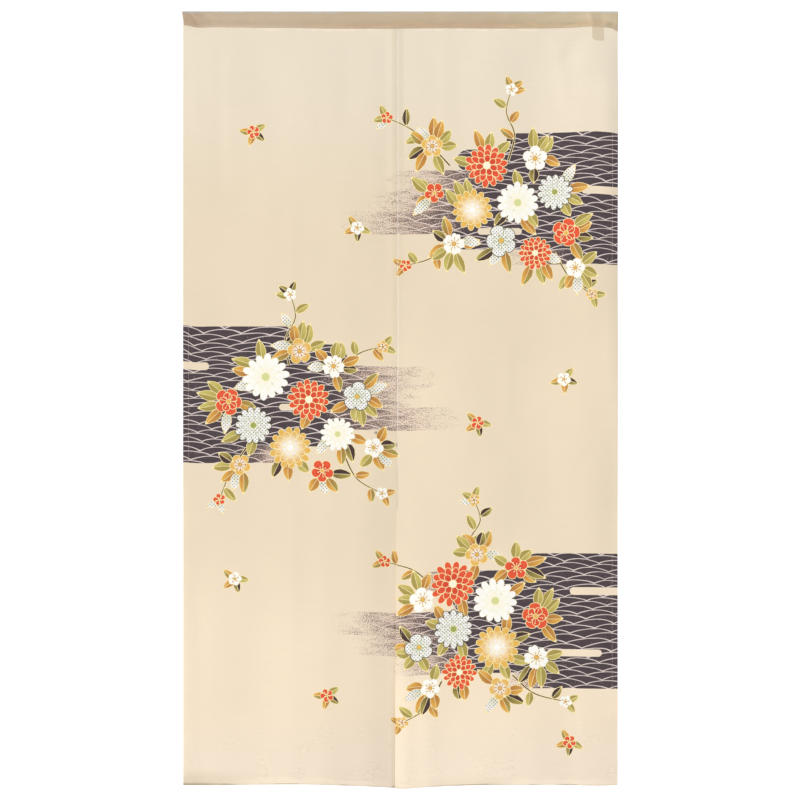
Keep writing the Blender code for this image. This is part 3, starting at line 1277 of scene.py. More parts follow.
# %% Steps and noise
def step(tree, value, start, stop, low=0.0, high=1.0):
    """Goes softly from low to high while the value goes from start to stop."""
    node = add_node(tree, "ShaderNodeMapRange", interpolation_type="SMOOTHSTEP")
    for socket, source in zip(node.inputs, (value, start, stop, low, high)):
        feed(tree, socket, source)
    return node.outputs["Result"]


def speckle(tree, place, across, up, detail=2.0, deep=1.0):
    """Blender's noise, from 0 to 1 and mostly near a half, with so many grains to a metre."""
    scaled = add_node(tree, "ShaderNodeVectorMath", operation="MULTIPLY")
    feed(tree, scaled.inputs[0], place)
    feed(tree, scaled.inputs[1], (across, up, deep))
    node = add_node(tree, "ShaderNodeTexNoise")
    feed(tree, node.inputs["Vector"], scaled.outputs["Vector"])
    feed(tree, node.inputs["Scale"], 1.0)
    feed(tree, node.inputs["Detail"], detail)
    return node.outputs["Fac"]


def chance(tree, number):
    """A value from 0 to 1 that is the same wherever the number is the same."""
    node = add_node(tree, "ShaderNodeTexWhiteNoise", noise_dimensions="1D")
    feed(tree, node.inputs["W"], number)
    return node.outputs["Value"]


print("noise:", speckle.__name__, "and", chance.__name__)


# %% Colours
def blend(tree, share, under, over, mode="MIX"):
    node = add_node(tree, "ShaderNodeMix", data_type="RGBA", blend_type=mode)
    feed(tree, node.inputs[0], share)
    feed(tree, node.inputs[6], under)
    feed(tree, node.inputs[7], over)
    return node.outputs[2]


def opaque(dye):
    return (*linear(dye), 1.0)


def toned(tree, colour, tone):
    """A colour multiplied by a tone near 1."""
    grey = add_node(tree, "ShaderNodeCombineColor")
    for socket in grey.inputs[:3]:
        feed(tree, socket, tone)
    return blend(tree, 1.0, colour, grey.outputs[0], "MULTIPLY")


print("the mist in linear light:", [round(c, 3) for c in opaque("mist")])


# %% Node group helpers
def new_group(name, inputs, outputs):
    """A shader node group: its tree, what comes in, and what goes out."""
    group = bpy.data.node_groups.new(name, "ShaderNodeTree")
    for label, kind, default in inputs:
        socket = group.interface.new_socket(label, in_out="INPUT", socket_type="NodeSocket" + kind)
        if default is not None:
            socket.default_value = default
    for label, kind in outputs:
        group.interface.new_socket(label, in_out="OUTPUT", socket_type="NodeSocket" + kind)
    given = group.nodes.new("NodeGroupInput").outputs
    return group, given, group.nodes.new("NodeGroupOutput").inputs


def use_group(tree, group, **sources):
    node = add_node(tree, "ShaderNodeGroup", node_tree=group)
    for label, source in sources.items():
        feed(tree, node.inputs[label], source)
    return node.outputs


print("a recipe that several cloths share is made by", new_group.__name__)

# %% [markdown]
# ## The crepe weave
#
# Crepe is woven from hard-twisted yarn that shrinks unevenly, so its face is pebbled, with short
# slubs that run across. Noise that is stretched along x gives the slubs, and finer noise the
# pebbles. The group hands out a tone near 1 and a height, and every cloth here uses it.


# %% Crepe weave group
def make_crepe():
    tree, given, result = new_group(
        "crepe weave",
        [("place", "Vector", None), ("contrast", "Float", 1.0)],
        [("tone", "Float"), ("height", "Float")],
    )
    slubs = speckle(tree, given["place"], 90, 950, 1.0)
    pebbles = speckle(tree, given["place"], 700, 900, 1.0)
    streaks = speckle(tree, given["place"], 14, 260)
    relief = plus(tree, times(tree, slubs, 0.45), times(tree, pebbles, 0.55))
    lift = plus(tree, times(tree, relief, 0.12), times(tree, streaks, 0.04))
    lift = minus(tree, lift, 0.08)
    feed(tree, result["tone"], plus(tree, times(tree, lift, given["contrast"]), 1.0))
    feed(tree, result["height"], relief)
    return tree


crepe = make_crepe()
print("group:", crepe.name)

# %% [markdown]
# ## Waves in the mist
#
# The waves are the old pattern of overlapping scales, each edged by one flat arc, in rows that are
# shifted by half a scale and a little more by chance. Scales in one row stand closer than their
# width, so that only their shallow tops show. A shader can't draw one scale over another, so it
# asks, for the rows that could cover a point, from the lowest to the highest, whether the point
# lies inside that row's scale.

# %% Wave scales group
SCALE_SPACING = 1.6
ROW_RISE = 0.5
ROW_SHIFT = 0.3


def to_scale(tree, across, up, row):
    """Distance to the nearest scale's centre in a row, 1 on its edge."""
    half_on = calc(tree, "FRACT", times(tree, row, 0.5))
    shift = times(tree, chance(tree, row), ROW_SHIFT)
    turn = minus(tree, calc(tree, "DIVIDE", across, SCALE_SPACING), half_on)
    turn = plus(tree, turn, shift)
    aside = times(tree, minus(tree, calc(tree, "FRACT", turn), 0.5), SCALE_SPACING)
    above = minus(tree, up, times(tree, row, ROW_RISE))
    squares = plus(tree, times(tree, aside, aside), times(tree, above, above))
    return calc(tree, "SQRT", squares)


def make_waves():
    tree, given, result = new_group(
        "wave scales",
        [("place", "Vector", None), ("radius", "Float", 0.046), ("flatness", "Float", 0.38)],
        [("line", "Float")],
    )
    wander = speckle(tree, given["place"], 6, 10, 1.0)
    across, up = across_and_up(tree, given["place"])
    across = calc(tree, "DIVIDE", across, given["radius"])
    up = calc(tree, "DIVIDE", calc(tree, "DIVIDE", up, given["radius"]), given["flatness"])
    across = plus(tree, across, times(tree, wander, 1.2))
    up = plus(tree, up, times(tree, wander, 1.4))
    own_row = calc(tree, "FLOOR", times(tree, up, 1 / ROW_RISE))
    nearest = to_scale(tree, across, up, plus(tree, own_row, 1.0))
    for offset in (0.0, -1.0):
        candidate = to_scale(tree, across, up, plus(tree, own_row, offset))
        inside = calc(tree, "LESS_THAN", candidate, 1.0)
        closer = times(tree, minus(tree, candidate, nearest), inside)
        nearest = plus(tree, nearest, closer)
    to_arc = calc(tree, "ABSOLUTE", minus(tree, nearest, 1.0))
    pressure = speckle(tree, given["place"], 60, 90, 1.0)
    width = step(tree, pressure, 0.3, 0.7, 0.085, 0.125)
    feed(tree, result["line"], step(tree, to_arc, 0.035, width, 1.0, 0.0))
    return tree


waves = make_waves()
print("group:", waves.name)

# %% [markdown]
# ## Stipple
#
# Where mist thins out, the printer's screen breaks it into dots. A dot is printed where a noise
# value is under the density, so the dots are dense near 1 and scattered near 0.


# %% Stipple group
def make_stipple():
    tree, given, result = new_group(
        "mist stipple",
        [("place", "Vector", None), ("density", "Float", 1.0)],
        [("ink", "Float"), ("wash", "Float")],
    )
    grain = speckle(tree, given["place"], 480, 760, 1.0)
    clump = speckle(tree, given["place"], 26, 90)
    mottle = plus(tree, times(tree, grain, 0.72), times(tree, clump, 0.28))
    limit = plus(tree, times(tree, given["density"], 0.34), 0.35)
    room = minus(tree, limit, mottle)
    present = calc(tree, "GREATER_THAN", given["density"], 0.001)
    feed(tree, result["ink"], times(tree, step(tree, room, -0.012, 0.012), present))
    feed(tree, result["wash"], times(tree, step(tree, given["density"], 0.0, 0.7), present))
    return tree


stipple = make_stipple()
print("group:", stipple.name)

# %% [markdown]
# ## Tied dots
#
# On the dotted blooms each tie leaves a small white square with a dark point in it, and the squares
# stand on their corners in slanting rows.


# %% Tied dots group
def make_tied_dots():
    tree, given, result = new_group(
        "tied dots",
        [("place", "Vector", None), ("pitch", "Float", 0.0068)],
        [("gap", "Float"), ("point", "Float")],
    )
    across, up = across_and_up(tree, given["place"])
    from_middle = []
    for way in ("ADD", "SUBTRACT"):
        along = calc(tree, "DIVIDE", calc(tree, way, across, up), given["pitch"])
        in_cell = minus(tree, calc(tree, "FRACT", along), 0.5)
        from_middle.append(calc(tree, "ABSOLUTE", in_cell))
    furthest = calc(tree, "MAXIMUM", *from_middle)
    feed(tree, result["gap"], step(tree, furthest, 0.38, 0.46))
    feed(tree, result["point"], step(tree, furthest, 0.15, 0.24, 1.0, 0.0))
    return tree


tied = make_tied_dots()
print("group:", tied.name)

# %% [markdown]
# ## The printed cloth
#
# The face shows the print at full strength. The back shows it faintly, since the dye doesn't go all
# the way through, so both sides are one recipe with its own strength. The ground is a little warmer
# in the middle of the curtain and lighter towards the hem. Where the cloth lies double at the slit,
# or the tab is behind it, less light comes through, and a painted shade makes it darker. Painted
# light makes it lighter low on the right panel, where a little more light comes through, on the
# turned edge just under the seam, and on the last centimetre at the bottom, which turns up to the
# light. A painted shade darkens the fold of the bottom hem here and there.

# %% The bare ground
GROUND_TOP = (233, 220, 199)
# where a tone begins, where it is full, and the tone
GROUND_BANDS = (
    (-0.10, -0.46, (233, 216, 189)),
    (-0.58, -0.76, (236, 219, 192)),
    (-1.00, -1.24, (244, 226, 200)),
    (-1.34, -1.47, (243, 226, 204)),
)
# painted light on the ground: where it begins, is full, ends to be full and is over, across; where
# it begins and is full, up; and how much lighter
PAINTED_LIGHT_PLACES = (
    ((-0.0055, -0.0050, 0.012, 0.080), (-1.26, -1.36), 0.055),
    ((0.06, 0.15, 0.22, 0.31), (-1.20, -1.32), 0.022),
    ((-0.30, -0.24, -0.06, -0.02), (-0.0385, -0.0355), 0.07),
    ((0.02, 0.05, 0.26, 0.28), (-0.0385, -0.0355), 0.07),
    ((-0.34, -0.28, -0.03, -0.006), (-1.488, -1.496), 0.06),
    ((0.20, 0.23, 0.40, 0.43), (-1.488, -1.496), 0.06),
)


def uv_map(tree, name):
    return add_node(tree, "ShaderNodeUVMap", uv_map=name).outputs[0]


def bare_ground(tree, cut):
    """The undyed cloth, with its slow changes of tone from the seam to the hem, and its painted
    light.
    """
    across, up = across_and_up(tree, cut)
    ground = opaque(GROUND_TOP)
    for start, stop, tone in GROUND_BANDS:
        ground = blend(tree, step(tree, up, start, stop), ground, opaque(tone))
    cloud = speckle(tree, cut, 9, 5)
    tone = step(tree, cloud, 0.2, 0.8, 0.985, 1.015)
    wander = speckle(tree, cut, 34, 34)
    uneven = step(tree, wander, 0.2, 0.8, -4 * MM, 4 * MM)
    up = plus(tree, up, uneven)
    # painted light: lighter low on the right panel, on the turned edge under the seam, and on the
    # hem's last centimetre
    for (begins, full, until, ends), (start, stop), more in PAINTED_LIGHT_PLACES:
        here = times(tree, step(tree, across, begins, full), step(tree, across, ends, until))
        glow = times(tree, here, step(tree, up, start, stop, 0.0, more))
        tone = times(tree, tone, plus(tree, glow, 1.0))
    return toned(tree, ground, tone)


print(len(GROUND_BANDS), "bands of tone down the cloth and", len(PAINTED_LIGHT_PLACES), "lighter places")


# %% The dye of a motif
def colour_attribute(tree, name):
    return add_node(tree, "ShaderNodeAttribute", attribute_name=name).outputs


def motif_colour(tree, dots):
    """The dye of a petal or a leaf, shaded from its heart, with tied dots on the dotted ones."""
    own = uv_map(tree, "motif")
    away = add_node(tree, "ShaderNodeVectorMath", operation="LENGTH")
    feed(tree, away.inputs[0], own)
    heart = colour_attribute(tree, "heart")
    brush = speckle(tree, own, 6, 6, 3.0)
    ragged = times(tree, minus(tree, brush, 0.5), 0.45)
    reach = plus(tree, away.outputs["Value"], ragged)
    glow = times(tree, step(tree, reach, 0.12, 0.78, 1.0, 0.0), heart["Alpha"])
    dyed = blend(tree, glow, colour_attribute(tree, "dye")["Color"], heart["Color"])
    ties = use_group(tree, tied, place=uv_map(tree, "cut"))
    gaps = times(tree, ties["gap"], dots)
    dyed = blend(tree, gaps, dyed, opaque("dot gap"))
    return blend(tree, times(tree, ties["point"], dots), dyed, opaque("dot point"))


print("a petal's dye:", [round(c, 3) for c in opaque("vermilion")])

# %% Painted shade in the fold of the bottom hem
# what the painted shade in the hem's fold multiplies the colour by
HEM_FOLD_SHADE_TINT = (0.60, 0.56, 0.52, 1.0)


def painted_fold_shade(tree, cut, shade):
    """How much painted shade darkens the fold of the bottom hem, in patches, and most where the hem
    is shaded.
    """
    up = across_and_up(tree, cut)[1]
    above_fold = calc(tree, "ABSOLUTE", plus(tree, up, DROP - MM))
    near = step(tree, above_fold, 0.4 * MM, step(tree, shade, 0.2, 0.9, 1.6 * MM, 6 * MM), 1.0, 0.0)
    patch = step(tree, speckle(tree, cut, 11, 0), 0.46, 0.58, 0.12, 1.0)
    return times(tree, near, calc(tree, "MAXIMUM", patch, shade))


# the painted shade in the hem's fold keeps this share of the red light
print("the fold's dye leaves", HEM_FOLD_SHADE_TINT[0], "of the red light")

# %% The print on the ground, with painted light and shade
# what the painted shade multiplies the cloth's colour by
SHADE_TINT = (0.86, 0.86, 0.82, 1.0)
# what the tab's painted shadow multiplies the cloth's colour by
TAB_SHADOW_TINT = (0.81, 0.785, 0.72, 1.0)


def printed_colour(tree, cut, strength):
    """The cloth's colour before the weave, with its print at a strength from 0 to 1, and with
    painted light and shade.
    """
    ground = bare_ground(tree, cut)
    print_and_painted_shade = add_node(tree, "ShaderNodeSeparateColor")
    feed(tree, print_and_painted_shade.inputs[0], colour_attribute(tree, "print_and_painted_shade")["Color"])
    mist, dots, shade = print_and_painted_shade.outputs[0:3]
    ink = use_group(tree, stipple, place=cut, density=mist)
    line = use_group(tree, waves, place=cut)["line"]
    washes = speckle(tree, cut, 30, 60)
    tint = blend(tree, washes, opaque("mist"), opaque("mist wash"))
    tint = blend(tree, 0.62, tint, opaque("mist"))
    tint = blend(tree, step(tree, mist, 0.35, 0.95), opaque("stipple ink"), tint)
    washed = times(tree, ink["wash"], 0.85 * strength)
    under = blend(tree, washed, ground, opaque("stipple gap"))
    misted = blend(tree, times(tree, ink["ink"], strength), under, tint)
    pale = blend(tree, step(tree, mist, 0.3, 0.95), opaque("stipple line"), opaque("wave line"))
    drawn = times(tree, line, step(tree, mist, 0.02, 0.5, 0.0, 0.96 * strength))
    misted = blend(tree, drawn, misted, pale)
    dyed = motif_colour(tree, dots)
    cover = colour_attribute(tree, "dye")["Alpha"]
    misted = blend(tree, times(tree, cover, strength), misted, dyed)
    # painted shade where the cloth lies double at the slit, under the lap and along the hem
    misted = blend(tree, shade, misted, SHADE_TINT, "MULTIPLY")
    # painted shade in the fold of the bottom hem
    misted = blend(tree, painted_fold_shade(tree, cut, shade), misted, HEM_FOLD_SHADE_TINT, "MULTIPLY")
    if strength < 1:
        return misted
    # the tab's painted shadow shows on the face only
    behind = colour_attribute(tree, "print_and_painted_shade")["Alpha"]
    return blend(tree, behind, misted, TAB_SHADOW_TINT, "MULTIPLY")


print("doubled cloth keeps", SHADE_TINT[0], "of its red, and cloth over the tab", TAB_SHADOW_TINT[0])

# %% Crushed patches
CRINKLE = 1.4
# how much the crushed patches change the tone, as painted light and shade beside their bump
CRINKLE_PAINTED_SHADING = 0.07


def crinkle(tree, cut):
    """Small crushed patches low on the cloth, from -1 to 1 and mostly near 0."""
    up = across_and_up(tree, cut)[1]
    crush = step(tree, speckle(tree, cut, 110, 270), 0.2, 0.8, -1.0, 1.0)
    patch = step(tree, speckle(tree, cut, 24, 18, 1.0), 0.52, 0.68)
    low = step(tree, up, -DROP + 190 * MM, -DROP + 60 * MM)
    return times(tree, times(tree, crush, patch), low)


print("crushing changes the tone by up to", CRINKLE_PAINTED_SHADING)

# %% A matt cloth
WEAVE_BUMP = 0.25 * MM


def cloth_shader(tree, colour, relief, roughness):
    """The Principled shader of a matt cloth, with its weave as a bump."""
    shader = tree.nodes["Principled BSDF"]
    feed(tree, shader.inputs["Base Color"], colour)
    feed(tree, shader.inputs["Roughness"], roughness)
    shader.inputs["Specular IOR Level"].default_value = 0.25
    shader.inputs["Sheen Weight"].default_value = 0.12
    shader.inputs["Sheen Roughness"].default_value = 0.5
    raised = add_node(tree, "ShaderNodeBump")
    raised.inputs["Distance"].default_value = WEAVE_BUMP
    raised.inputs["Strength"].default_value = 0.6
    feed(tree, raised.inputs["Height"], relief)
    feed(tree, shader.inputs["Normal"], raised.outputs[0])


def printed_cloth(name, strength):
    material, tree = new_material(name)
    cut = uv_map(tree, "cut")
    weave = use_group(tree, crepe, place=cut, contrast=1.0)
    colour = printed_colour(tree, cut, strength)
    crushed = crinkle(tree, cut)
    # the crushed patches' painted light and shade
    tone = plus(tree, weave["tone"], times(tree, crushed, CRINKLE_PAINTED_SHADING))
    colour = toned(tree, colour, tone)
    roughness = step(tree, weave["height"], 0.2, 0.8, 0.92, 0.80)
    relief = plus(tree, weave["height"], times(tree, crushed, CRINKLE))
    cloth_shader(tree, colour, relief, roughness)
    return material


face_cloth = printed_cloth("printed cloth face", 1)
back_cloth = printed_cloth("printed cloth back", 0.42)
print("materials:", face_cloth.name, "and", back_cloth.name)

# %% [markdown]
# ## The two panels
#
# With the print and its shaders at hand, each panel is cut, hung on its folds, dyed at its corners
# and given its thickness.

# %% The left and the right cloth
panels = [make_panel(panel, face_cloth, back_cloth) for panel in PANELS]

# %% [markdown]
# ## The heading
#
# The rod goes through a flat sleeve of plain tan cloth. It is one strip, folded over the top, with
# its two edges sewn on to the panels and its ends turned in. Its section is a smooth curve through
# a few points, from the fold at the top to the lip under the stitches, and the back mirrors the
# front. A point of the strip is known by x and by its way round the section, from the front lip to
# the back one. The sleeve and its stitches are both laid on it.

# %% Section of the sleeve
SLEEVE_SECTION = (
    # down from the top edge, and out from the sleeve's middle to its wall, in mm
    (0.0, 0.0),
    (0.3, 1.6),
    (1.3, 3.5),
    (3.4, 5.1),
    (7.0, 6.5),
    (12.0, 7.1),
    (18.0, 6.6),
    (23.0, 4.9),
    (27.0, 2.6),
    (29.4, 1.3),
    (31.2, 1.0),
    (33.2, 1.05),
)
FRONT_WALL = [(down, -out) for down, out in smooth_through(SLEEVE_SECTION, 3)]
BACK_WALL = [(down, -out) for down, out in FRONT_WALL[1:]]
RING = np.array(FRONT_WALL[::-1] + BACK_WALL) * MM
WAY_ROUND = np.concatenate([[0.0], np.cumsum(np.linalg.norm(np.diff(RING, axis=0), axis=1))])
STRIP_WIDTH = WAY_ROUND[-1]
print("the strip is", round(STRIP_WIDTH / MM, 1), "mm wide")

# %% Swells and creases of the sleeve
SLEEVE_SWELLS = (
    # x, reach, and the added share of the sleeve's depth
    (-422, 46, -0.12),
    (-310, 70, 0.05),
    (-150, 80, -0.04),
    (40, 90, 0.04),
    (230, 80, -0.05),
    (422, 40, -0.10),
)
SLEEVE_CREASES = (
    # a soft line from x and down to x and down, its reach, and its height outwards
    (-410, 2, -391, 28, 3.0, -1.5),
    (-405, 25, -384, 28, 2.2, -0.9),
    (-408, 4, -372, 26, 5.0, 0.7),
    (-382, 4, -358, 27, 4.0, -0.6),
    (-338, 25, -262, 27, 2.2, -0.45),
    (-300, 6, -286, 26, 6.0, -0.4),
    (-190, 27, -110, 25, 2.2, -0.4),
    (-128, 5, -140, 26, 7.0, -0.4),
    (-22, 24, 10, 27, 2.4, -0.6),
    (62, 27, 132, 24.5, 2.2, -0.5),
    (70, 5, 82, 24, 7.0, -0.4),
    (152, 24.5, 226, 27, 2.2, -0.45),
    (214, 4, 200, 24, 6.0, 0.4),
    (316, 28, 343, 24, 2.0, -0.8),
    (343, 24, 374, 28, 2.0, -0.8),
    (366, 2, 377, 29, 5.0, 1.5),
    (388, 2, 395, 29, 6.0, -1.1),
)
print("creases across the sleeve:", len(SLEEVE_CREASES))

# %% Relief of the sleeve
BACK_CREASE_SHARE = 0.5
SLEEVE_WAVE = 0.5 * MM
SLEEVE_WAVE_ACROSS = 46 * MM
SLEEVE_WAVE_DOWN = 18 * MM
SLEEVE_PUCKER = 0.5 * MM
SLEEVE_PUCKER_LENGTH = 8 * MM
SLEEVE_PUCKER_REACH = 6 * MM
STITCHED_DOWN = 29.4 * MM
FOLD_SOFTNESS = 5 * MM


def line_hump(x, down, line):
    """How strongly a crease's line is felt at a point, fading towards its ends."""
    start_x, start_down, stop_x, stop_down, reach, _ = line
    start = Vector((start_x, start_down)) * MM
    along = Vector((stop_x, stop_down)) * MM - start
    from_start = Vector((x, down)) - start
    share = min(max(from_start.dot(along) / along.length_squared, 0.0), 1.0)
    away = (from_start - along * share).length
    return ease(3 * min(share, 1 - share) + 0.3) * hump(away, 0.0, reach * MM)


def sleeve_relief(x, down, side):
    """The small relief of the sleeve's front (side -1) or back (side 1), outwards."""
    place = Vector((x / SLEEVE_WAVE_ACROSS, down / SLEEVE_WAVE_DOWN, side))
    depth = SLEEVE_WAVE * noise.noise(place)
    strength = 1.0 if side < 0 else BACK_CREASE_SHARE
    depth += strength * sum(line[-1] * MM * line_hump(x, down, line) for line in SLEEVE_CREASES)
    pucker = noise.noise(Vector((x / SLEEVE_PUCKER_LENGTH, 5.0, side)))
    depth += SLEEVE_PUCKER * pucker * hump(down, STITCHED_DOWN, SLEEVE_PUCKER_REACH)
    return depth * ease(down / FOLD_SOFTNESS)


middle_relief = sleeve_relief(0.0, POCKET_HEIGHT / 2, -1.0)
print("relief in the middle of its front:", round(middle_relief / MM, 2), "mm")

# %% A point of the sleeve
LEAST_DEPTH = 0.8 * MM
END_DROP = 6 * MM
END_DROP_REACH = 13 * MM
SLANT_REACH = 30 * MM


def on_section(way):
    """The point of the section at a way round it: down, and out."""
    return np.array([np.interp(way, WAY_ROUND, values) for values in RING.T])


def on_sleeve(x, way, lift=0.0):
    """The strip's point at x and a way round the section; lift is outwards."""
    down, out = on_section(way)
    before, after = on_section(way - MM), on_section(way + MM)
    along = (after - before) / np.linalg.norm(after - before)
    side = -1.0 if way < STRIP_WIDTH / 2 else 1.0
    at_right_end = ease(1 - (WIDTH / 2 - x) / END_DROP_REACH)
    height = END_DROP * at_right_end - pocket_edge(x)
    share_down = down / POCKET_HEIGHT
    down = share_down * height
    depth = abs(out) * (1.0 + along_width(SLEEVE_SWELLS, x)) + sleeve_relief(x, down, side)
    depth = max(depth, min(abs(out), LEAST_DEPTH))
    near_end = ease(1 - (x + WIDTH / 2) / SLANT_REACH)
    slant = POCKET_SLANT * near_end * (share_down - 0.5)
    return Vector((x + slant, side * depth + lift * along[0], -down + lift * along[1]))


print("the top fold is at", tuple(round(c, 5) for c in on_sleeve(0.0, STRIP_WIDTH / 2)))

# %% The sleeve's strip
SLEEVE_CLOTH = 0.55 * MM
SLEEVE_COLUMN = 3.5 * MM
END_TURN = 0.4 * MM
END_ALLOWANCE = 8 * MM
END_STEPS = 3
PINCH_REACH = 3 * MM


def strip_columns():
    """Places along the flat strip: its plain middle, where its ends turn, and what is turned in."""
    turning = turn_lines(WIDTH / 2, END_TURN)
    inside = [turning[-1] + END_ALLOWANCE * k / END_STEPS for k in range(1, END_STEPS + 1)]
    right = turning + inside
    return [-x for x in right[::-1]] + spread_between(-right[0], right[0], SLEEVE_COLUMN) + right


def make_sleeve(material):
    columns = strip_columns()

    def place(column, row):
        x, way = columns[column], WAY_ROUND[row]
        turned, inwards = turned_back(abs(x), WIDTH / 2, END_TURN)
        pinched = min(1.0, abs(np.interp(way, WAY_ROUND, RING[:, 1])) / PINCH_REACH)
        return (x, way), on_sleeve(math.copysign(turned, x), way, -inwards * pinched)

    steps = (len(columns) - 1, len(RING) - 1)
    return lay_strip("heading_sleeve", *steps, place, material, SLEEVE_CLOTH)


strip_size = (strip_columns()[-1] - strip_columns()[0], STRIP_WIDTH)
print("flat strip:", tuple(round(side / MM, 1) for side in strip_size), "mm")

# %% [markdown]
# ## Plain tan cloth
#
# The sleeve is the same crepe, dyed tan. It is greyer along the top edge and darker at its right
# end. Towards the seam it is lighter and redder, and lighter again low on its left half: painted
# light that lifts the shade of the sleeve's rounded lower half. Painted shade darkens its left end
# and the stretch from the tab to its right end. The tab's tape shares the recipe with its own
# colour.

# %% Tan dyes
TAN = (195, 175, 147)
TAN_TOP = (193, 187, 176)
TAN_SEAM = (204, 176, 145)
TAN_LIP = (197, 174, 146)
TAN_PAINTED_LIGHT = (203, 183, 157)
TAN_END = (182, 162, 137)
TAPE = (226, 216, 196)
# what the colour is multiplied by, and where along the sleeve that begins and is full; the darker
# rows are painted shade at the left end and from the tab to the right end
SLEEVE_PATCHES = (
    ((1.03, 1.03, 1.06), -0.13, -0.24),
    ((0.89, 0.84, 0.82), -0.372, -0.398),
    ((1.02, 1.05, 1.03), 0.19, 0.24),
    ((1.05, 1.06, 1.06), 0.27, 0.31),
    ((1.05, 1.05, 1.05), 0.335, 0.355),
    ((0.94, 0.94, 0.94), 0.368, 0.376),
)
print("the tan in linear light:", [round(c, 3) for c in linear(TAN)])


# %% A plain cloth
def plain_cloth(name, dye, tones_and_painted_light=None, contrast=1.2):
    """A plain dyed crepe. If given the sleeve's tones, it has them at its lips and its fold, some of
    them painted light, and the sleeve's lighter and darker patches along x.
    """
    material, tree = new_material(name)
    place = add_node(tree, "ShaderNodeTexCoord").outputs["Object"]
    cut = uv_map(tree, "cut")
    mottle = speckle(tree, place, 16, 60, 3.0, 40)
    colour = opaque(dye)
    if tones_and_painted_light:
        way = across_and_up(tree, cut)[1]
        uneven = speckle(tree, cut, 26, 30)
        from_lip = calc(tree, "PINGPONG", way, STRIP_WIDTH / 2)
        from_lip = plus(tree, from_lip, step(tree, uneven, 0.2, 0.8, -4 * MM, 4 * MM))
        across = across_and_up(tree, place)[0]
        # tones at the lips and the fold, the seam, lip and left ones painted light
        for tone_here, start, stop, along in tones_and_painted_light:
            here = times(tree, step(tree, from_lip, start, stop), step(tree, across, *along))
            colour = blend(tree, here, colour, opaque(tone_here))
        # lighter stretches, and painted shade at the left end and from the tab to the right end
        for tint, start, stop in SLEEVE_PATCHES:
            colour = blend(tree, step(tree, across, start, stop), colour, (*tint, 1.0), "MULTIPLY")
    colour = toned(tree, colour, step(tree, mottle, 0.25, 0.75, 0.965, 1.03))
    weave = use_group(tree, crepe, place=cut, contrast=contrast)
    colour = toned(tree, colour, weave["tone"])
    roughness = step(tree, weave["height"], 0.2, 0.8, 0.92, 0.82)
    cloth_shader(tree, colour, weave["height"], roughness)
    return material


print("a plain cloth is made by", plain_cloth.__name__)

# %% The sleeve in its tones
# colour, where it begins and is full from the nearest lip, and how its strength changes along x; the
# seam, lip and left tones are painted light
SLEEVE_TONES = (
    (TAN_SEAM, 13 * MM, 7 * MM, (-0.28, -0.04, 0.0, 1.0)),
    (TAN_LIP, 4.2 * MM, 3 * MM, (-0.28, -0.04, 0.0, 1.0)),
    (TAN_PAINTED_LIGHT, 13 * MM, 7 * MM, (-0.24, -0.08, 0.7, 0.0)),
    (TAN_END, 13 * MM, 8 * MM, (0.394, 0.402, 0.0, 0.9)),
    (TAN_TOP, STRIP_WIDTH / 2 - 9 * MM, STRIP_WIDTH / 2 - 4 * MM, (-0.30, 0.0, 1.0, 0.9)),
)
sleeve_cloth = plain_cloth("tan cloth", TAN, tones_and_painted_light=SLEEVE_TONES)
sleeve = make_sleeve(sleeve_cloth)

# %% [markdown]
# ## The folded tab
#
# The tab is a short piece of tape, folded once, with both of its ends caught in the seam. It hangs
# behind the right panel and follows its folds. One lower corner is cut off.

# %% The tab's tape
TAPE_CLOTH = 0.35 * MM
TAB_TOP = 3 * MM
# how far behind the panel the front layer and the back layer lie
TAPE_LAYERS_AT_SEAM = (0.42 * MM, 0.84 * MM)
TAPE_LAYERS_BELOW = (0.8 * MM, 2.0 * MM)
TAPE_OPENS = 14 * MM
TAPE_FOLD_DOWN = TAB_LENGTH - 0.6 * MM
TAPE_STEPS = 14
TAPE_FOLD_STEPS = 6
TAPE_COLUMNS = 8
TAPE_UV_STEP = 2 * MM


def tape_path():
    """Down from the seam and how far behind the panel, along the tape from one end to the other."""
    downs = [mix(-TAB_TOP, TAPE_FOLD_DOWN, i / TAPE_STEPS) for i in range(TAPE_STEPS + 1)]
    front, back = (
        [(down, mix(at_seam, below, ease(down / TAPE_OPENS))) for down in downs]
        for at_seam, below in zip(TAPE_LAYERS_AT_SEAM, TAPE_LAYERS_BELOW)
    )
    radius = (TAPE_LAYERS_BELOW[1] - TAPE_LAYERS_BELOW[0]) / 2
    turns = [math.pi * i / TAPE_FOLD_STEPS for i in range(1, TAPE_FOLD_STEPS)]
    middle = TAPE_LAYERS_BELOW[0]
    fold = [(downs[-1] + radius * math.sin(a), middle + radius * (1 - math.cos(a))) for a in turns]
    return front + fold + back[::-1]


def make_tab(material):
    path = tape_path()

    def place(column, row):
        share = column / TAPE_COLUMNS
        down, behind = path[row]
        cut_off = TAB_CORNER * min(max((down - TAB_LENGTH + TAB_CORNER) / TAB_CORNER, 0.0), 1.0)
        x = mix(TAB_LEFT + cut_off, TAB_LEFT + TAB_WIDTH, share)
        return (share * TAB_WIDTH, row * TAPE_UV_STEP), hang(PANELS[1], x, down, -behind)

    return lay_strip("folded_tab", TAPE_COLUMNS, len(path) - 1, place, material, TAPE_CLOTH)


tape_size = (TAB_WIDTH, sum(math.dist(a, b) for a, b in zip(tape_path(), tape_path()[1:])))
print("flat tape:", tuple(round(side / MM, 1) for side in tape_size), "mm")

# %% The tab in its place
tape_cloth = plain_cloth("tab tape", TAPE, contrast=2.0)
tab = make_tab(tape_cloth)

# %% [markdown]
# ## Stitches
#
# A lockstitch shows as a row of short, slightly sunk dashes on both sides of the cloth. One stitch
# is a small stretched sphere. A spin without an angle lays it out as a straight row, and the row
# then goes through the same functions as the cloth, so it follows every fold and pucker.

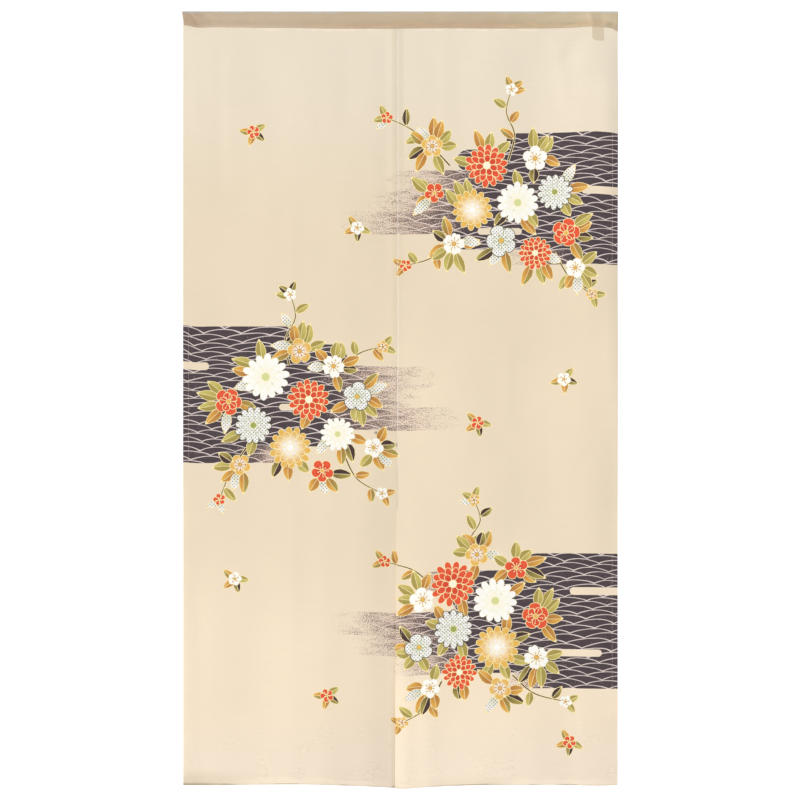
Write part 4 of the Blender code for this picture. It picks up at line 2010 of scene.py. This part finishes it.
# %% Rows of stitches
STITCH_PITCH = 3.4 * MM
STITCH_LENGTH = 2.7 * MM
STITCH_WIDTH = 0.5 * MM
STITCH_HEIGHT = 0.3 * MM
SIDE_STITCH_IN = 10.6 * MM
BOTTOM_STITCH_UP = 12.2 * MM
SUNK = 0.04 * MM
STITCH_END = 2 * MM


def stitch_rows(name, rows, material):
    """One piece of many rows, each of them a start, an end and the function that lays it."""
    piece = bmesh.new()
    for start, stop, lay in rows:
        start, stop = Vector(start), Vector(stop)
        count = max(2, round((stop - start).length / STITCH_PITCH))
        row = bmesh.new()
        upright = Matrix.Rotation(math.pi / 2, 4, "Y")
        bmesh.ops.create_uvsphere(row, u_segments=6, v_segments=4, radius=0.5, matrix=upright)
        bmesh.ops.scale(row, vec=(STITCH_LENGTH, STITCH_WIDTH, STITCH_HEIGHT), verts=row.verts)
        bmesh.ops.spin(
            row,
            geom=row.verts[:] + row.edges[:] + row.faces[:],
            axis=(0, 0, 1),
            dvec=(STITCH_PITCH, 0, 0),
            angle=0,
            steps=count - 1,
            use_duplicate=True,
        )
        along = (stop - start).normalized()
        for vertex in row.verts:
            flat = start + along * vertex.co.x + Vector((-along.y, along.x)) * vertex.co.y
            vertex.co = lay(flat.x, flat.y, vertex.co.z)
        laid = as_mesh(row, "row")
        piece.from_mesh(laid)
        bpy.data.meshes.remove(laid)
    mesh = as_mesh(piece, name)
    mesh.shade_smooth()
    print(name, "has", len(mesh.polygons), "faces")
    return new_piece(mesh, name, material)


print("a metre of seam has", round(1 / STITCH_PITCH), "stitches")

# %% Thread
CREAM_THREAD = (240, 228, 204)
TAN_THREAD = (196, 172, 140)


def thread(name, dye):
    """Spun thread: its tone wanders a little along the seam, with a soft shine."""
    material, tree = new_material(name)
    place = add_node(tree, "ShaderNodeTexCoord").outputs["Object"]
    wander = speckle(tree, place, 180, 180, 1.0, 180)
    tone = step(tree, wander, 0.3, 0.7, 0.9, 1.05)
    shader = tree.nodes["Principled BSDF"]
    feed(tree, shader.inputs["Base Color"], toned(tree, opaque(dye), tone))
    feed(tree, shader.inputs["Roughness"], step(tree, wander, 0.3, 0.7, 0.5, 0.62))
    shader.inputs["Sheen Weight"].default_value = 0.2
    return material


cream_thread = thread("cream thread", CREAM_THREAD)
tan_thread = thread("tan thread", TAN_THREAD)
print("materials:", cream_thread.name, "and", tan_thread.name)


# %% The seams and hems that are sewn
def panel_rows(panel):
    """The hem stitches of a panel, on its face and on the back of its hems."""
    low, high = sides(panel)
    bottom = PANEL_LENGTH - BOTTOM_STITCH_UP

    def laid(side, behind):
        lift = side * (CLOTH / 2 - SUNK) - behind
        return lambda x, down, height: hang(panel, x, down, lift + side * height)

    rows = []
    for lay in (laid(1.0, 0.0), laid(-1.0, 2 * SIDE_TURN)):
        for x in (low + SIDE_STITCH_IN, high - SIDE_STITCH_IN):
            rows.append(((x, STITCH_END), (x, PANEL_LENGTH - STITCH_END), lay))
    for lay in (laid(1.0, 0.0), laid(-1.0, 2 * BOTTOM_TURN)):
        rows.append(((low + STITCH_END, bottom), (high - STITCH_END, bottom), lay))
    return rows


def heading_rows():
    """The seam stitches on the sleeve's front and back, and those of its turned ends."""
    out = SLEEVE_CLOTH / 2 - SUNK

    def lay(x, way, height):
        return on_sleeve(x, way, out + height)

    back = len(FRONT_WALL) - 1
    sewn = float(np.interp(STITCHED_DOWN, RING[back:, 0], WAY_ROUND[back:]))
    end = WIDTH / 2 - STITCH_END
    rows = [((-end, way), (end, way), lay) for way in (STRIP_WIDTH - sewn, sewn)]
    for x in (-WIDTH / 2 + END_ALLOWANCE - MM, WIDTH / 2 - END_ALLOWANCE + MM):
        rows.append(((x, STRIP_WIDTH - sewn), (x, sewn), lay))
    return rows


hem_stitches = [
    stitch_rows(name, panel_rows(panel), cream_thread)
    for name, panel in zip(("left_stitches", "right_stitches"), PANELS)
]
heading_stitches = stitch_rows("heading_stitches", heading_rows(), tan_thread)

# %% [markdown]
# ## Camera and light
#
# The photograph is square on, and the curtain stands out from a white ground. The camera is four
# metres away. The light is soft, and comes mostly from the left, where it grazes the folds.

# %% Camera
CAMERA_DISTANCE = 4.0
FRAME_HEIGHT = 1.556
VIEW_CENTRE = Vector((-0.0008, 0.0, -0.7556))
SENSOR = 36.0

camera_data = bpy.data.cameras.new("camera")
camera_data.sensor_width = SENSOR
camera_data.lens = SENSOR * CAMERA_DISTANCE / FRAME_HEIGHT
camera = new_object("camera", camera_data)
camera.location = VIEW_CENTRE + Vector((0.0, -CAMERA_DISTANCE, 0.0))
camera.rotation_euler = (math.pi / 2, 0.0, 0.0)
bpy.context.scene.camera = camera
bpy.context.scene.view_settings.view_transform = "Standard"
print("lens:", round(camera_data.lens, 1), "mm")

# %% Lights and world
KEY_TURN = math.radians(-52)
KEY_HEIGHT = math.radians(7)
KEY_STRENGTH = 2.5
KEY_SOFTNESS = math.radians(24)
WORLD_LIGHT = 0.525
WORLD_SEEN = 1.15

key_data = bpy.data.lights.new("key", "SUN")
key_data.energy = KEY_STRENGTH
key_data.angle = KEY_SOFTNESS
key = new_object("key", key_data)
level = math.cos(KEY_HEIGHT)
towards_key = Vector((math.sin(KEY_TURN) * level, -math.cos(KEY_TURN) * level, 0.0))
towards_key.z = math.sin(KEY_HEIGHT)
key.rotation_euler = towards_key.to_track_quat("Z", "Y").to_euler()

world = bpy.data.worlds.new("studio")
bpy.context.scene.world = world
world.use_nodes = True
sky = world.node_tree
sky.nodes.clear()
either = add_node(sky, "ShaderNodeMixShader")
feed(sky, either.inputs[0], add_node(sky, "ShaderNodeLightPath").outputs["Is Camera Ray"])
for socket, strength in zip(either.inputs[1:], (WORLD_LIGHT, WORLD_SEEN)):
    white = add_node(sky, "ShaderNodeBackground")
    white.inputs["Color"].default_value = (1, 1, 1, 1)
    white.inputs["Strength"].default_value = strength
    feed(sky, socket, white.outputs[0])
feed(sky, add_node(sky, "ShaderNodeOutputWorld").inputs[0], either.outputs[0])
print("the key light comes from", round(math.degrees(-KEY_TURN)), "degrees to the left")

# %% Floor
FLOOR_Z = -1.9
FLOOR_SIZE = 40.0
PAPER_GLOW = 0.75
floor_grid = bmesh.new()
bmesh.ops.create_grid(floor_grid, x_segments=1, y_segments=1, size=FLOOR_SIZE / 2)
bmesh.ops.translate(floor_grid, verts=floor_grid.verts, vec=(0.0, 0.0, FLOOR_Z))
paper, tree = new_material("white paper")
shader = tree.nodes["Principled BSDF"]
shader.inputs["Base Color"].default_value = (0.92, 0.92, 0.92, 1)
shader.inputs["Roughness"].default_value = 0.9
shader.inputs["Emission Color"].default_value = (1, 1, 1, 1)
seen_directly = add_node(tree, "ShaderNodeLightPath").outputs["Is Camera Ray"]
feed(tree, shader.inputs["Emission Strength"], times(tree, seen_directly, PAPER_GLOW))
floor = new_piece(as_mesh(floor_grid, "floor"), "floor", paper)
print("the floor is", round(-FLOOR_Z - DROP, 2), "m below the hem")

# %% [markdown]
# ## What each piece stands for
#
# Each cloth takes the place of its solid. The flat sizes are those of the cut pieces with their hem
# allowances.

# %% Places in the frame
CAD_PANELS = ("left_panel", "right_panel")
panel_flat_length = PANEL_LENGTH + SEAM_TUCK + BOTTOM_ALLOWANCE * MM
for panel, piece, stitches, node in zip(PANELS, panels, hem_stitches, CAD_PANELS):
    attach(piece, "root")
    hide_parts(node)
    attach(stitches, "root")
    flat_width = abs(panel.outer - panel.slit_edge(0.0)) + 2 * SIDE_ALLOWANCE * MM
    print(piece.name, "is", round(flat_width, 4), "by", round(panel_flat_length, 4), "m when flat")
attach(sleeve, "root")
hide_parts("rod_pocket")
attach(heading_stitches, "root")
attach(tab, "root")
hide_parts("sewn_tab")
